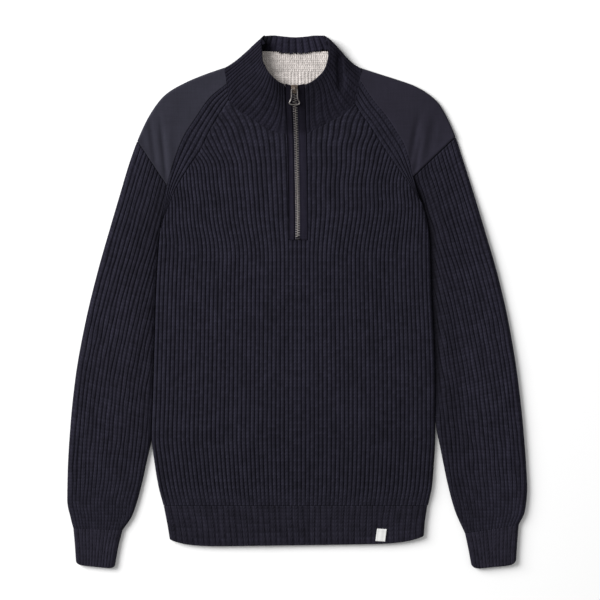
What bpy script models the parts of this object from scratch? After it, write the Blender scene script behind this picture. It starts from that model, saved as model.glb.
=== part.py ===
"""Quarter zip sweater in rib knit, laid out flat with its front up.

Sizes are in millimetres and become metres in one place, finish(). X runs to the
wearer's left, which is the right-hand side seen from above, Y to the collar and Z up.
"Left" and "right" in names are the sides seen from above. The origin is on the
surface that the sweater lies on, under the middle of its outline.
"""

import math
from collections import namedtuple

import bmesh
import bpy
from mathutils import Matrix, Vector

MM = 0.001

# Knit
WALL = 3.0  # one layer of knit, up to the bottom of its grooves
RIB_RISE = 1.3  # a ridge above its grooves
SEAM_GAP = 0.3  # between layers, and between pieces at a seam
BUTT_GAP = 0.5  # between pieces that meet end to end
FOLDED = 2 * WALL + SEAM_GAP  # two layers, lying on each other
FOLD_ROUND = 3.2  # radius of a folded edge
FOLD_FALL = 1.8  # how far the front's edge has fallen where the body folds
FOLD_DRAW_IN = 1.6  # how far the back's underside is drawn in at the same edge
SLEEVE_PITCH = 6.0
BAND_WALES = 4  # wales that run along each raglan seam
CUFF_WALES = 12
HEM_WALES = 45
SLIT_STEPS = 8  # across the slit between a flattened tube's layers
SLIT_REACH = 4.0  # of the slit's tool past the tube's open ends
END_RISE = 0.5  # share of its rise that a ridge keeps where it meets a band
CUFF_RISE = 0.7  # the same, of a cuff's finer ridges

# Shoulder patches
PATCH_CLOTH = 1.2
PATCH_STACK = PATCH_CLOTH + SEAM_GAP  # room that the sleeve leaves under its patch
PATCH_ENDS_AT = 5  # the sleeve station where the patch ends

# Collar
COLLAR_WALL = 3.2
COLLAR_RISE = 6.5  # the front of the top edge stands this much over the neck seam
LIFT_POWER = 1.3  # how late along the collar it rises
COLLAR_WALES = 22  # from the zip to the side fold
COLLAR_BACK_WALES = 11
COLLAR_STAND_OFF = 0.7  # from the neck seam, along the ribs
FRONT_ROLL = 3.0  # how deep the top edge is turned in at the front
TURN_IN = 23.0  # the same, at the back
TURN_IN_BULK = 2.8  # the turned-in layer's thickness
TURN_IN_AT_SIDES = 0.35  # share of it at the side folds
TURN_IN_RISE = 0.7  # of the ridges on the turned-in layer
LINING_CLOTH = 1.0
LINING_STEPS = 8

# Zip
ZIP_FOOT = 89.6  # Y of the tapes' lower ends
ZIP_HEAD = 311.5
NECK_SEAM_Y = 241.8  # where the neck seam meets the zip
CHAIN_HALF = 3.3
TAPE_INNER = 3.7
TAPE_EDGE = {"left": 10.4, "right": 12.0}
TAPE_TOP = 6.0
TAPE_CLOTH = 2.0
CHAIN_OVER_TAPE = 1.1
CHAIN_DEPTH = 2.6
STOP_OVER_TAPE = 1.6
STOP_DEPTH = 3.2
STOP_LENGTH = 2.6
SLIDER_AT = 306.6
SLIDER_LENGTH = 13.0
SLIDER_WIDTH = 10.4
LOWER_PLATE_WIDTH = 8.4
PLATE = 1.6
PLATE_ROUND = 2.6
STEM_WIDTH = 5.0
STEM_LENGTH = 7.0
STEM_SHIFT = 2.0  # the stem stands behind the slider's middle
STEM_ROUND = 1.2
BAIL_WIDTH = 2.4
BAIL_LENGTH = 9.0
BAIL_OVER_AXLE = 2.4
SINK = 0.4  # how far joined blocks run into each other
AXLE_OVER_PLATE = 1.75
AXLE_CLEARANCE = 0.45
PULL_WIRE = 1.0  # radius
PULL_DROOP = math.radians(9.5)

# Label
LABEL_WIDTH = 17.4
LABEL_LENGTH = 21.6
LABEL_CLOTH = 0.5
LABEL_AT = (121.0, -336.5)
LABEL_TURN = math.radians(-3.0)

# The line of the zip and of the middle wale.
Centre = namedtuple("Centre", "y x")
CENTRE_LINE = (
    Centre(-294.4, 0.7),
    Centre(92.0, 0.7),
    Centre(147.5, -0.7),
    Centre(205.5, -2.2),
    Centre(278.0, -2.9),
    Centre(315.0, -4.3),
)

# The raglan seams, from the neck to the armpit.
Spot = namedtuple("Spot", "x y")
RAGLAN = {
    "left": (
        Spot(-101.8, 315.0),
        Spot(-126.9, 294.0),
        Spot(-147.2, 265.0),
        Spot(-164.6, 237.4),
        Spot(-177.6, 204.1),
        Spot(-187.8, 167.8),
        Spot(-192.1, 140.3),
        Spot(-197.9, 107.0),
    ),
    "right": (
        Spot(90.3, 321.5),
        Spot(110.9, 291.1),
        Spot(126.9, 271.5),
        Spot(141.4, 249.8),
        Spot(155.9, 224.4),
        Spot(167.5, 180.9),
        Spot(172.6, 162.0),
        Spot(180.5, 140.3),
    ),
}

# The neck seam, from the zip to the side fold, and the collar's top edge over it.
Neck = namedtuple("Neck", "seam_x seam_y top_x top_y")
NECK = {
    "left": (
        Neck(-13.2, 241.8, -14.6, 312.8),
        Neck(-39.9, 247.6, -31.9, 321.5),
        Neck(-51.5, 254.8, -38.4, 328.1),
        Neck(-63.1, 263.5, -42.1, 332.4),
        Neck(-86.3, 278.0, -47.9, 342.6),
        Neck(-99.3, 292.5, -50.0, 349.8),
        Neck(-101.8, 315.0, -51.8, 360.7),
        Neck(-105.1, 338.9, -54.4, 383.0),
    ),
    "right": (
        Neck(9.8, 241.8, 9.0, 313.5),
        Neck(23.9, 249.0, 20.3, 321.5),
        Neck(41.3, 257.8, 30.5, 328.8),
        Neck(58.7, 266.5, 37.7, 337.5),
        Neck(71.8, 275.0, 40.6, 345.5),
        Neck(83.4, 287.4, 42.8, 354.2),
        Neck(90.3, 321.5, 45.0, 369.4),
        Neck(92.1, 338.2, 46.1, 382.0),
    ),
}

# The back of the neck, from the left side fold to the right one.
BACK_NECK = (
    Neck(-79.0, 325.9, -48.6, 386.1),
    Neck(-51.5, 318.6, -35.5, 385.6),
    Neck(-25.4, 315.0, -19.6, 384.1),
    Neck(-0.7, 314.3, -3.6, 383.1),
    Neck(23.9, 315.0, 12.3, 384.1),
    Neck(47.1, 318.6, 26.8, 385.6),
    Neck(70.3, 325.9, 39.9, 386.1),
)

# Rows of wales of each half of the front, from the hem up. edge and inner are
# distances from the centre line: of the row's outer end, and of the zip's slot or
# the neck seam. wales counts the wales out to the edge. spread is where the first
# wale has been pushed to by the zip. seam is the station along the raglan seam.
Course = namedtuple("Course", "y edge wales spread inner seam")
FRONT = {
    "left": (
        Course(-294.4, 194.3, 34.0, 0, 0, None),
        Course(-267.0, 201.5, 34.0, 0, 0, None),
        Course(-232.0, 207.3, 34.0, 0, 0, None),
        Course(-196.0, 211.4, 34.0, 0, 0, None),
        Course(-142.5, 209.5, 34.0, 0, 0, None),
        Course(-55.5, 206.9, 34.0, 0, 0, None),
        Course(17.0, 204.7, 34.0, 0, 0, None),
        Course(82.3, 200.8, 34.0, 0, 0, None),
        Course(87.0, 200.4, 34.0, 4.0, 0, None),
        Course(89.0, 200.2, 34.0, 4.5, 10.7, None),
        Course(95.3, 199.7, 33.8, 7.0, 10.7, None),
        Course(107.0, 198.2, 33.3, 10.7, 10.7, 7.0),
        Course(137.4, 187.3, 30.8, 12.3, 10.7, 6.0),
        Course(165.0, 175.1, 27.0, 12.3, 10.7, 5.0),
        Course(194.0, 156.9, 22.8, 12.3, 10.7, 4.0),
        Course(220.0, 139.0, 17.6, 12.3, 10.7, 3.0),
        Course(241.8, 128.0, 14.6, 12.3, 10.7, 2.3),
        Course(247.6, 125.0, 14.0, 12.3, 37.3, 2.0),
        Course(254.8, 120.6, 13.0, 12.3, 48.8, 1.7),
        Course(263.5, 115.0, 11.8, 12.3, 60.3, 1.4),
        Course(278.0, 105.6, 9.9, 12.3, 83.4, 1.0),
        Course(292.5, 95.8, 8.3, 12.3, 95.8, 0.0),
    ),
    "right": (
        Course(-294.4, 188.5, 32.0, 0, 0, None),
        Course(-267.0, 194.3, 32.0, 0, 0, None),
        Course(-232.0, 197.2, 32.0, 0, 0, None),
        Course(-196.0, 199.1, 32.0, 0, 0, None),
        Course(-142.5, 199.1, 32.0, 0, 0, None),
        Course(-55.5, 197.2, 32.0, 0, 0, None),
        Course(17.0, 193.6, 32.0, 0, 0, None),
        Course(82.3, 191.4, 31.4, 0, 0, None),
        Course(87.0, 191.1, 31.3, 4.0, 0, None),
        Course(89.0, 190.9, 31.2, 4.5, 12.3, None),
        Course(95.3, 190.6, 31.0, 7.0, 12.3, None),
        Course(107.0, 188.9, 30.5, 10.7, 12.3, None),
        Course(140.3, 181.0, 29.0, 12.3, 12.3, 7.0),
        Course(157.7, 169.8, 27.0, 12.3, 12.3, 6.0),
        Course(175.0, 158.4, 25.0, 12.3, 12.3, 5.0),
        Course(205.5, 137.5, 18.9, 12.3, 12.3, 4.0),
        Course(230.2, 121.6, 14.3, 12.3, 12.3, 3.0),
        Course(241.8, 114.7, 12.5, 12.3, 12.3, 2.7),
        Course(249.0, 110.3, 11.4, 12.3, 26.5, 2.4),
        Course(257.8, 104.8, 10.2, 12.3, 44.0, 2.0),
        Course(266.5, 98.8, 9.0, 12.3, 61.5, 1.5),
        Course(275.0, 92.9, 7.8, 12.3, 74.7, 1.0),
        Course(287.4, 86.7, 6.3, 12.3, 86.7, 0.0),
    ),
}

# The sleeve's outer edge beside each spot of the raglan seam, from the neck down.
SLEEVE_OUTER = {
    "left": (
        Spot(-105.1, 338.9),
        Spot(-134.1, 328.8),
        Spot(-161.7, 317.2),
        Spot(-190.7, 299.8),
        Spot(-212.4, 272.2),
        Spot(-231.3, 233.1),
        Spot(-244.3, 196.8),
        Spot(-255.9, 157.7),
    ),
    "right": (
        Spot(92.1, 338.2),
        Spot(121.1, 328.8),
        Spot(144.3, 321.5),
        Spot(171.8, 311.4),
        Spot(202.3, 288.2),
        Spot(229.1, 238.9),
        Spot(237.1, 214.2),
        Spot(248.7, 178.0),
    ),
}

# Sections of a flattened tube: its outer and inner ends, seen from above, the width
# of the rounding at the inner end (0 where the edge is cut and joins the body), the
# wale pitch (0 where the wales are counted instead), and how far the section's
# middle lies towards +Y of its ends.
Section = namedtuple("Section", "outer_x outer_y inner_x inner_y roll pitch bow")
SLEEVE_LOWER = {
    "left": (
        Section(-270.4, 108.4, -200.3, 82.3, 3.2, 6.0, 0),
        Section(-289.3, 41.6, -204.2, 17.0, 3.2, 6.0, 0),
        Section(-306.0, -29.0, -206.4, -55.5, 3.2, 6.0, 0),
        Section(-319.7, -107.0, -209.0, -142.5, 3.2, 6.0, 0),
        Section(-327.0, -178.0, -211.5, -196.0, 3.2, 6.0, 0),
        Section(-331.3, -243.0, -221.9, -241.0, 3.2, 5.8, 0),
        Section(-332.3, -286.0, -233.5, -287.5, 3.2, 5.5, 0),
        Section(-328.4, -311.0, -241.4, -310.7, 3.2, 5.2, 0),
        Section(-323.1, -327.2, -252.3, -330.5, 3.2, 4.9, 0),
    ),
    "right": (
        Section(260.3, 140.3, 189.8, 107.0, 6.0, 6.0, 0),
        Section(273.3, 96.7, 192.6, 82.3, 9.0, 6.0, 0),
        Section(289.3, 41.6, 194.8, 17.0, 10.0, 6.0, 0),
        Section(305.0, -29.0, 198.4, -55.5, 10.0, 6.0, 0),
        Section(318.6, -113.5, 200.3, -142.5, 8.0, 6.0, 0),
        Section(326.3, -182.0, 202.5, -174.0, 4.0, 6.0, 0),
        Section(331.0, -233.0, 212.4, -232.5, 3.2, 6.0, 0),
        Section(332.8, -270.0, 220.4, -268.6, 3.2, 5.8, 0),
        Section(330.0, -303.0, 229.1, -302.0, 3.2, 5.4, 0),
        Section(321.0, -322.4, 242.9, -334.8, 3.2, 5.0, 0),
    ),
}
CUFF = {
    "left": (
        Section(-322.6, -328.2, -252.5, -331.5, 3.2, 0, 0),
        Section(-321.8, -352.7, -258.8, -354.2, 3.2, 0, 0),
        Section(-320.2, -376.0, -263.8, -382.4, 3.2, 0, -4.4),
    ),
    "right": (
        Section(320.8, -323.6, 243.2, -336.0, 3.2, 0, 0),
        Section(318.0, -352.7, 247.7, -358.5, 3.2, 0, 0),
        Section(316.8, -376.2, 251.6, -381.0, 3.2, 0, -7.2),
    ),
}
HEM = (
    Section(-193.2, -295.0, 188.2, -295.0, 3.2, 0, 0),
    Section(-188.0, -322.0, 184.5, -320.0, 3.2, 0, -2.0),
    Section(-184.0, -345.0, 182.0, -340.5, 3.2, 0, -10.4),
)

NECK_LINING = (
    Section(-50.5, 357.5, 44.0, 357.5, 0, 0, 0),
    Section(-54.0, 345.0, 47.5, 345.0, 0, 0, 0),
    Section(-53.0, 330.0, 46.5, 330.0, 0, 0, 0),
    Section(-44.0, 318.0, 38.0, 318.0, 0, 0, 0),
    Section(-26.0, 307.0, 20.0, 307.0, 0, 0, 0),
)

# How a folded edge rounds, from the upper face to the lower one.
Round = namedtuple("Round", "inset height")
FOLD = (
    Round(1.0, 1.0),
    Round(0.29, 0.86),
    Round(0.0, 0.5),
    Round(0.29, 0.14),
    Round(1.0, 0.0),
)

Finish = namedtuple("Finish", "colour roughness metallic")
FINISHES = {
    "navy_knit": Finish((0.017, 0.017, 0.027), 0.95, 0.0),
    "navy_woven": Finish((0.030, 0.035, 0.048), 0.85, 0.0),
    "cream_knit": Finish((0.62, 0.58, 0.53), 0.95, 0.0),
    "zip_tape_cloth": Finish((0.012, 0.012, 0.019), 0.9, 0.0),
    "antique_brass": Finish((0.30, 0.25, 0.17), 0.38, 1.0),
    "label_white": Finish((0.82, 0.82, 0.81), 0.8, 0.0),
}

garment = None  # the collection that holds the pieces


def blend(low, high, share):
    return low + (high - low) * share


def clamp(value, low, high):
    return max(low, min(high, value))


def centre_x(y):
    """The middle wale's X, by linear steps between the rows of CENTRE_LINE."""
    y = clamp(y, CENTRE_LINE[0].y, CENTRE_LINE[-1].y)
    for low, high in zip(CENTRE_LINE, CENTRE_LINE[1:]):
        if y <= high.y:
            return blend(low.x, high.x, (y - low.y) / (high.y - low.y))


def along(points, station):
    """The point at a fractional station of a line of (x, y) points."""
    first = min(int(station), len(points) - 2)
    share = station - first
    return (
        blend(points[first][0], points[first + 1][0], share),
        blend(points[first][1], points[first + 1][1], share),
    )


def front_lift(y):
    """How far the front stands up at the zip: nothing below the neck seam."""
    share = max((y - NECK_SEAM_Y) / (ZIP_HEAD - NECK_SEAM_Y), 0)
    return COLLAR_RISE * share**LIFT_POWER


def surface_material(name):
    material = bpy.data.materials.get(name)
    if material is None:
        finish_of = FINISHES[name]
        material = bpy.data.materials.new(name)
        material.use_nodes = True
        shader = material.node_tree.nodes["Principled BSDF"]
        shader.inputs["Base Color"].default_value = (*finish_of.colour, 1)
        shader.inputs["Roughness"].default_value = finish_of.roughness
        shader.inputs["Metallic"].default_value = finish_of.metallic
        material.diffuse_color = (*finish_of.colour, 1)
    return material


def grid(columns, rows, point):
    """An open skin of quads whose corner (i, j) lies at point(i, j)."""
    bm = bmesh.new()
    bmesh.ops.create_grid(bm, x_segments=columns, y_segments=rows, size=1)
    for vertex in bm.verts:
        i = round((vertex.co.x + 1) / 2 * columns)
        j = round((vertex.co.y + 1) / 2 * rows)
        vertex.co = Vector(point(i, j))
    return bm


def merge_doubles(bm):
    bmesh.ops.remove_doubles(bm, verts=bm.verts, dist=0.01)
    bmesh.ops.dissolve_degenerate(bm, edges=bm.edges, dist=0.005)


def fill_open_ends(bm):
    open_edges = [edge for edge in bm.edges if edge.is_boundary]
    bmesh.ops.holes_fill(bm, edges=open_edges, sides=0)


def close_below(bm, height):
    """Walls from a skin's edge straight down to one flat face at this height."""
    rim = [edge for edge in bm.edges if edge.is_boundary]
    walls = bmesh.ops.extrude_edge_only(bm, edges=rim)
    for item in walls["geom"]:
        if isinstance(item, bmesh.types.BMVert):
            item.co.z = height
    fill_open_ends(bm)


def wall(columns, rows, outer, inner):
    """A closed wall between two skins, given as functions of a corner (i, j)."""
    bm = grid(columns, rows, lambda i, j: (i, j, 0))
    copied = bmesh.ops.extrude_face_region(bm, geom=bm.faces[:])
    raised = {item for item in copied["geom"] if isinstance(item, bmesh.types.BMVert)}
    for vertex in bm.verts:
        i = round(vertex.co.x)
        j = round(vertex.co.y)
        vertex.co = Vector(outer(i, j) if vertex in raised else inner(i, j))
    return bm


def finish(name, bm, material_name):
    """Turns millimetres to metres and adds the piece to the garment."""
    merge_doubles(bm)
    bmesh.ops.recalc_face_normals(bm, faces=bm.faces)
    bmesh.ops.scale(bm, vec=(MM, MM, MM), verts=bm.verts)
    mesh = bpy.data.meshes.new(name)
    bm.to_mesh(mesh)
    bm.free()
    mesh.materials.append(surface_material(material_name))
    mesh.shade_smooth()
    mesh.set_sharp_from_angle(angle=math.radians(40))
    piece = bpy.data.objects.new(name, mesh)
    garment.objects.link(piece)
    return piece


def boolean(piece, tool, operation):
    """Cuts the tool from the piece, or joins it on, and removes the tool."""
    modifier = piece.modifiers.new(operation.lower(), "BOOLEAN")
    modifier.operation = operation
    modifier.object = tool
    bpy.context.view_layer.update()
    evaluated = piece.evaluated_get(bpy.context.evaluated_depsgraph_get())
    shaped = bpy.data.meshes.new_from_object(evaluated)
    piece.modifiers.clear()
    piece.data = shaped
    bpy.data.objects.remove(tool)


def edge_drop(distance, radius, depth):
    """How far a rounded edge has fallen, this far in from it."""
    if distance >= radius:
        return 0.0
    return depth * (1 - math.sqrt(1 - (1 - distance / radius) ** 2))


def wale_offset(course, wale):
    """A wale's distance from the centre line on this course."""
    start = course.spread or 0.5 * course.edge / course.wales
    share = (wale - 0.5) / (course.wales - 0.5)
    return clamp(blend(start, course.edge, share), course.inner, course.edge)


def front_half(side):
    """Upper skin of half of the front: wales that fan out from the zip and are cut
    off by the raglan seam's band, the side edge, the zip's slot and the neck seam."""
    courses = FRONT[side]
    turn = -1 if side == "left" else 1
    wales = int(courses[0].wales)

    def point(i, j):
        course = courses[j]
        offset = wale_offset(course, i / 2)
        inside = course.inner < offset < course.edge
        ridge = 0.0
        if i % 2 and inside:
            ridge = RIB_RISE * (END_RISE if j == 0 else 1)
        drop = 0.0
        if course.seam is None:
            drop = edge_drop(course.edge - offset, FOLD_ROUND, FOLD_FALL)
        height = FOLDED + ridge - drop
        return (centre_x(course.y) + turn * offset, course.y, height)

    return grid(2 * wales, len(courses) - 1, point)


def raglan_band(side):
    """Upper skin of the wales that run along a raglan seam."""
    courses = [course for course in FRONT[side] if course.seam is not None]
    turn = -1 if side == "left" else 1

    def point(i, j):
        course = courses[j]
        inner = (centre_x(course.y) + turn * course.edge, course.y)
        outer = along(RAGLAN[side], course.seam)
        share = i / (2 * BAND_WALES)
        last = j in (0, len(courses) - 1)
        ridge = RIB_RISE if i % 2 and not last else 0
        return (
            blend(inner[0], outer[0], share),
            blend(inner[1], outer[1], share),
            FOLDED + ridge,
        )

    return grid(2 * BAND_WALES, len(courses) - 1, point)


def joined(skins):
    """One bmesh from several, with their shared edges merged."""
    whole = bmesh.new()
    for skin in skins:
        mesh = bpy.data.meshes.new("skin")
        skin.to_mesh(mesh)
        skin.free()
        whole.from_mesh(mesh)
        bpy.data.meshes.remove(mesh)
    merge_doubles(whole)
    return whole


def make_front_panel():
    skins = [front_half("left"), front_half("right")]
    skins += [raglan_band("left"), raglan_band("right")]
    bm = joined(skins)
    close_below(bm, WALL + SEAM_GAP)
    finish("front_panel", bm, "navy_knit")


def back_outline():
    """The back's edge seen from above, once round."""
    lower = {}
    for side, turn in (("left", -1), ("right", 1)):
        edge = [
            (centre_x(course.y) + turn * course.edge, course.y)
            for course in FRONT[side]
            if course.seam is None
        ]
        lower[side] = edge + [(seam.x, seam.y) for seam in reversed(RAGLAN[side])]
    neck = [(row.seam_x, row.seam_y - COLLAR_STAND_OFF) for row in BACK_NECK]
    return lower["right"] + neck[::-1] + lower["left"][::-1]


def make_back_panel():
    """A flat wall whose lower rim is drawn in where its edge rounds to the floor."""
    bm = bmesh.new()
    rim = [bm.verts.new((x, y, WALL)) for x, y in back_outline()]
    lowest = bmesh.ops.contextual_create(bm, geom=rim)["faces"][0]
    for height, inset in ((WALL / 2, 0.0), (0.0, FOLD_DRAW_IN)):
        source = [lowest, *lowest.edges]
        moved = bmesh.ops.extrude_face_region(bm, geom=source)["geom"]
        lowest = next(item for item in moved if isinstance(item, bmesh.types.BMFace))
        for vertex in lowest.verts:
            vertex.co.z = height
            vertex.co.x -= math.copysign(inset, vertex.co.x)
    finish("back_panel", bm, "navy_knit")


def sleeve_sections(side):
    """The sleeve's sections from the neck down, its upper ones on the raglan seam."""
    turn = -1 if side == "left" else 1
    upper = []
    for outer, seam in zip(SLEEVE_OUTER[side], RAGLAN[side]):
        upper.append(
            Section(
                outer.x + turn * BUTT_GAP * (outer is SLEEVE_OUTER[side][0]),
                outer.y,
                seam.x + turn * BUTT_GAP,
                seam.y + BUTT_GAP * 0.4,
                0.0,
                SLEEVE_PITCH,
                0,
            )
        )
    lower = [
        section._replace(inner_x=section.inner_x + turn * BUTT_GAP)
        for section in SLEEVE_LOWER[side]
    ]
    return upper + lower


def width_across(sections, j):
    """The section's width square to the sleeve's outer edge."""
    before = sections[max(j - 1, 0)]
    after = sections[min(j + 1, len(sections) - 1)]
    edge = Vector((after.outer_x - before.outer_x, after.outer_y - before.outer_y))
    section = sections[j]
    span = Vector((section.inner_x - section.outer_x, section.inner_y - section.outer_y))
    return abs(edge.normalized().cross(span))


def section_point(section, share, height):
    """A point this share of the way from the outer to the inner end."""
    x = blend(section.outer_x, section.inner_x, share)
    y = blend(section.outer_y, section.inner_y, share)
    bow = section.bow * (1 - abs(2 * share - 1) ** 4)
    return (x, y + bow, height)


def section_width(section):
    run = section.inner_x - section.outer_x
    return math.hypot(run, section.inner_y - section.outer_y)


def tube_ring(section, width, wales, most_wales, inset, rib_rise):
    """Shares and heights once round a flattened tube, from under its outer end: the
    outer fold, the upper face with its wales, and the inner fold. Wales past the
    inner fold lie on its edge, so that every ring has as many points."""
    ring = []
    for step in reversed(FOLD):
        ring.append(((inset + step.inset * FOLD_ROUND) / width, step.height * FOLDED))
    start = (inset + FOLD_ROUND) / width
    end = 1 - section.roll / width
    for i in range(1, 2 * most_wales):
        share = start + (end - start) * i / (2 * wales)
        ridge = rib_rise if i % 2 and share < end else 0
        ring.append((min(share, end), FOLDED + ridge))
    for step in FOLD:
        ring.append((1 - step.inset * section.roll / width, step.height * FOLDED))
    return ring


def flat_tube(name, sections, wale_counts, rises, insets, open_until):
    """A flattened knit tube, ribbed on top, with a slit between its two layers. The
    slit runs out through the inner edge on the sections up to open_until."""
    most_wales = math.ceil(max(wale_counts))
    widths = [section_width(section) for section in sections]
    rings = [
        tube_ring(section, widths[j], wale_counts[j], most_wales, insets[j], rises[j])
        for j, section in enumerate(sections)
    ]

    def point(i, j):
        share, height = rings[j][i % len(rings[j])]
        return section_point(sections[j], share, height)

    bm = grid(len(rings[0]), len(sections) - 1, point)
    merge_doubles(bm)
    fill_open_ends(bm)
    bmesh.ops.triangulate(bm, faces=[face for face in bm.faces if len(face.verts) > 4])
    tube = finish(name, bm, "navy_knit")

    def slit_point(i, j, height):
        row = clamp(j - 1, 0, len(sections) - 1)
        section = sections[row]
        outer = (insets[row] + WALL) / widths[row]
        inner = 1 - max(section.roll, WALL) / widths[row]
        if row <= open_until:
            inner = 1 + SLIT_REACH / widths[row]
        share = blend(outer, inner, i / SLIT_STEPS)
        place = Vector(section_point(section, share, height))
        if j != row + 1:
            before = sections[1] if j == 0 else sections[-2]
            inside = Vector(section_point(before, share, height))
            place += (place - inside).normalized() * SLIT_REACH
        return place

    cutter_bm = wall(
        SLIT_STEPS,
        len(sections) + 1,
        lambda i, j: slit_point(i, j, WALL + SEAM_GAP),
        lambda i, j: slit_point(i, j, WALL),
    )
    cutter = finish(name + "_slit", cutter_bm, "navy_knit")
    boolean(tube, cutter, "DIFFERENCE")


def make_sleeve(side):
    sections = sleeve_sections(side)
    wale_counts = [
        (width_across(sections, j) - FOLD_ROUND - section.roll) / section.pitch
        for j, section in enumerate(sections)
    ]
    under_patch = [j <= PATCH_ENDS_AT for j in range(len(sections))]
    rises = [0.0 if under else RIB_RISE for under in under_patch]
    rises[-1] = RIB_RISE * END_RISE
    insets = [PATCH_STACK if under else 0.0 for under in under_patch]
    open_until = len(RAGLAN[side]) - 1
    flat_tube("sleeve_" + side, sections, wale_counts, rises, insets, open_until)


def make_cuff(side):
    sections = CUFF[side]
    counts = [CUFF_WALES] * len(sections)
    rises = [RIB_RISE * CUFF_RISE] * len(sections)
    flat_tube("cuff_" + side, sections, counts, rises, [0.0] * len(sections), -1)


def make_hem_band():
    counts = [HEM_WALES] * len(HEM)
    flat_tube("hem_band", HEM, counts, [RIB_RISE] * len(HEM), [0.0] * len(HEM), -1)


# The patch's section round the shoulder fold, as distance in from the outline and
# height, then on over the top of the sleeve.
Wrap = namedtuple("Wrap", "outer_in outer_up inner_in inner_up")
PATCH_WRAP = (
    Wrap(1.2, 0.3, 2.4, 0.3),
    Wrap(0.0, 3.4, 1.2, 3.4),
    Wrap(1.2, 6.6, 2.2, 5.8),
    Wrap(3.8, FOLDED + PATCH_STACK, 4.2, FOLDED + SEAM_GAP),
)
PATCH_TOP_STEPS = 6


def make_shoulder_patch(side):
    """Woven cloth over the sleeve's upper sections, wrapped down its outer fold."""
    sections = sleeve_sections(side)[: PATCH_ENDS_AT + 1]
    columns = len(PATCH_WRAP) - 1 + PATCH_TOP_STEPS

    def place(i, j, distance, height):
        section = sections[j]
        share = distance / section_width(section)
        if i >= len(PATCH_WRAP):
            step = (i - len(PATCH_WRAP) + 1) / PATCH_TOP_STEPS
            share = blend(share, 1.0, step)
        return section_point(section, share, height)

    def outer(i, j):
        wrap = PATCH_WRAP[min(i, len(PATCH_WRAP) - 1)]
        return place(i, j, wrap.outer_in, wrap.outer_up)

    def inner(i, j):
        wrap = PATCH_WRAP[min(i, len(PATCH_WRAP) - 1)]
        return place(i, j, wrap.inner_in, wrap.inner_up)

    bm = wall(columns, len(sections) - 1, outer, inner)
    finish("shoulder_patch_" + side, bm, "navy_woven")


# A rib of the collar: the line from the neck seam to the top edge, the direction
# that its outer face looks in (0 up, 180 down), how much its top is turned in, and
# whether it is a ridge.
Rib = namedtuple("Rib", "seam top facing turned ridge")
COLLAR_SIDE_FACINGS = (0, 30, 60, 90, 120, 150, 180)


def neck_lengths(rows):
    lengths = [0.0]
    for low, high in zip(rows, rows[1:]):
        step = math.hypot(high.seam_x - low.seam_x, high.seam_y - low.seam_y)
        lengths.append(lengths[-1] + step)
    return lengths


def front_ribs(side):
    """Ribs of the collar's front, from the zip to beside the side fold."""
    rows = NECK[side]
    lengths = neck_lengths(rows)
    ribs = []
    for i in range(2 * COLLAR_WALES - 1):
        reach = lengths[-1] * i / (2 * COLLAR_WALES)
        first = max(j for j in range(len(rows) - 1) if lengths[j] <= reach)
        share = (reach - lengths[first]) / (lengths[first + 1] - lengths[first])
        low, high = rows[first], rows[first + 1]
        seam = (
            blend(low.seam_x, high.seam_x, share),
            blend(low.seam_y, high.seam_y, share),
        )
        top = (
            blend(low.top_x, high.top_x, share),
            blend(low.top_y, high.top_y, share),
        )
        ribs.append(Rib(seam, top, 0, 0.0, i % 2))
    return ribs


def side_ribs(side):
    """The collar's side fold, from its front round to its back."""
    fold = NECK[side][-1]
    seam = (fold.seam_x, fold.seam_y)
    top = (fold.top_x, fold.top_y)
    return [Rib(seam, top, facing, 0.0, 0) for facing in COLLAR_SIDE_FACINGS]


def back_ribs():
    """Ribs of the collar's back, whose top is turned in over its inner face."""
    ribs = []
    steps = 2 * COLLAR_BACK_WALES
    for i in range(steps + 1):
        station = (len(BACK_NECK) - 1) * i / steps
        seam = along([(row.seam_x, row.seam_y) for row in BACK_NECK], station)
        top = along([(row.top_x, row.top_y) for row in BACK_NECK], station)
        turned = 1.0 if 0 < i < steps else TURN_IN_AT_SIDES
        ribs.append(Rib(seam, top, 180, turned, i % 2))
    return ribs


def collar_ribs():
    """Every rib once round, from the zip's left edge to its right edge."""
    left = front_ribs("left") + side_ribs("left")
    right = front_ribs("right") + side_ribs("right")
    return left + back_ribs() + right[::-1]


# The collar's section along a rib: share of the way from seam to top edge, place
# through the wall from 1 (outer face) to -1 (inner face), share of the turned-in
# depth that it lies down from the top edge, share of the turned-in bulk, and
# whether ridges rise there.
Profile = namedtuple("Profile", "along through turned_down bulk ribbed")
COLLAR_PROFILE = (
    Profile(0.0, 1.0, 0, 0, 0.3),
    Profile(0.25, 1.0, 0, 0, 1),
    Profile(0.5, 1.0, 0, 0, 1),
    Profile(0.75, 1.0, 0, 0, 1),
    Profile(0.95, 1.0, 0, 0, 1),
    Profile(0.99, 0.5, 0, 0, 0),
    Profile(1.0, -0.2, 0, 0.5, 0),
    Profile(0.97, -1.0, 0, 1, 0),
    Profile(1.0, -1.0, 1, 1, 0),
    Profile(1.0, -1.0, 1.02, 0, 0),
    Profile(0.3, -1.0, 0, 0, 0),
    Profile(0.0, -1.0, 0, 0, 0),
)


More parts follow.
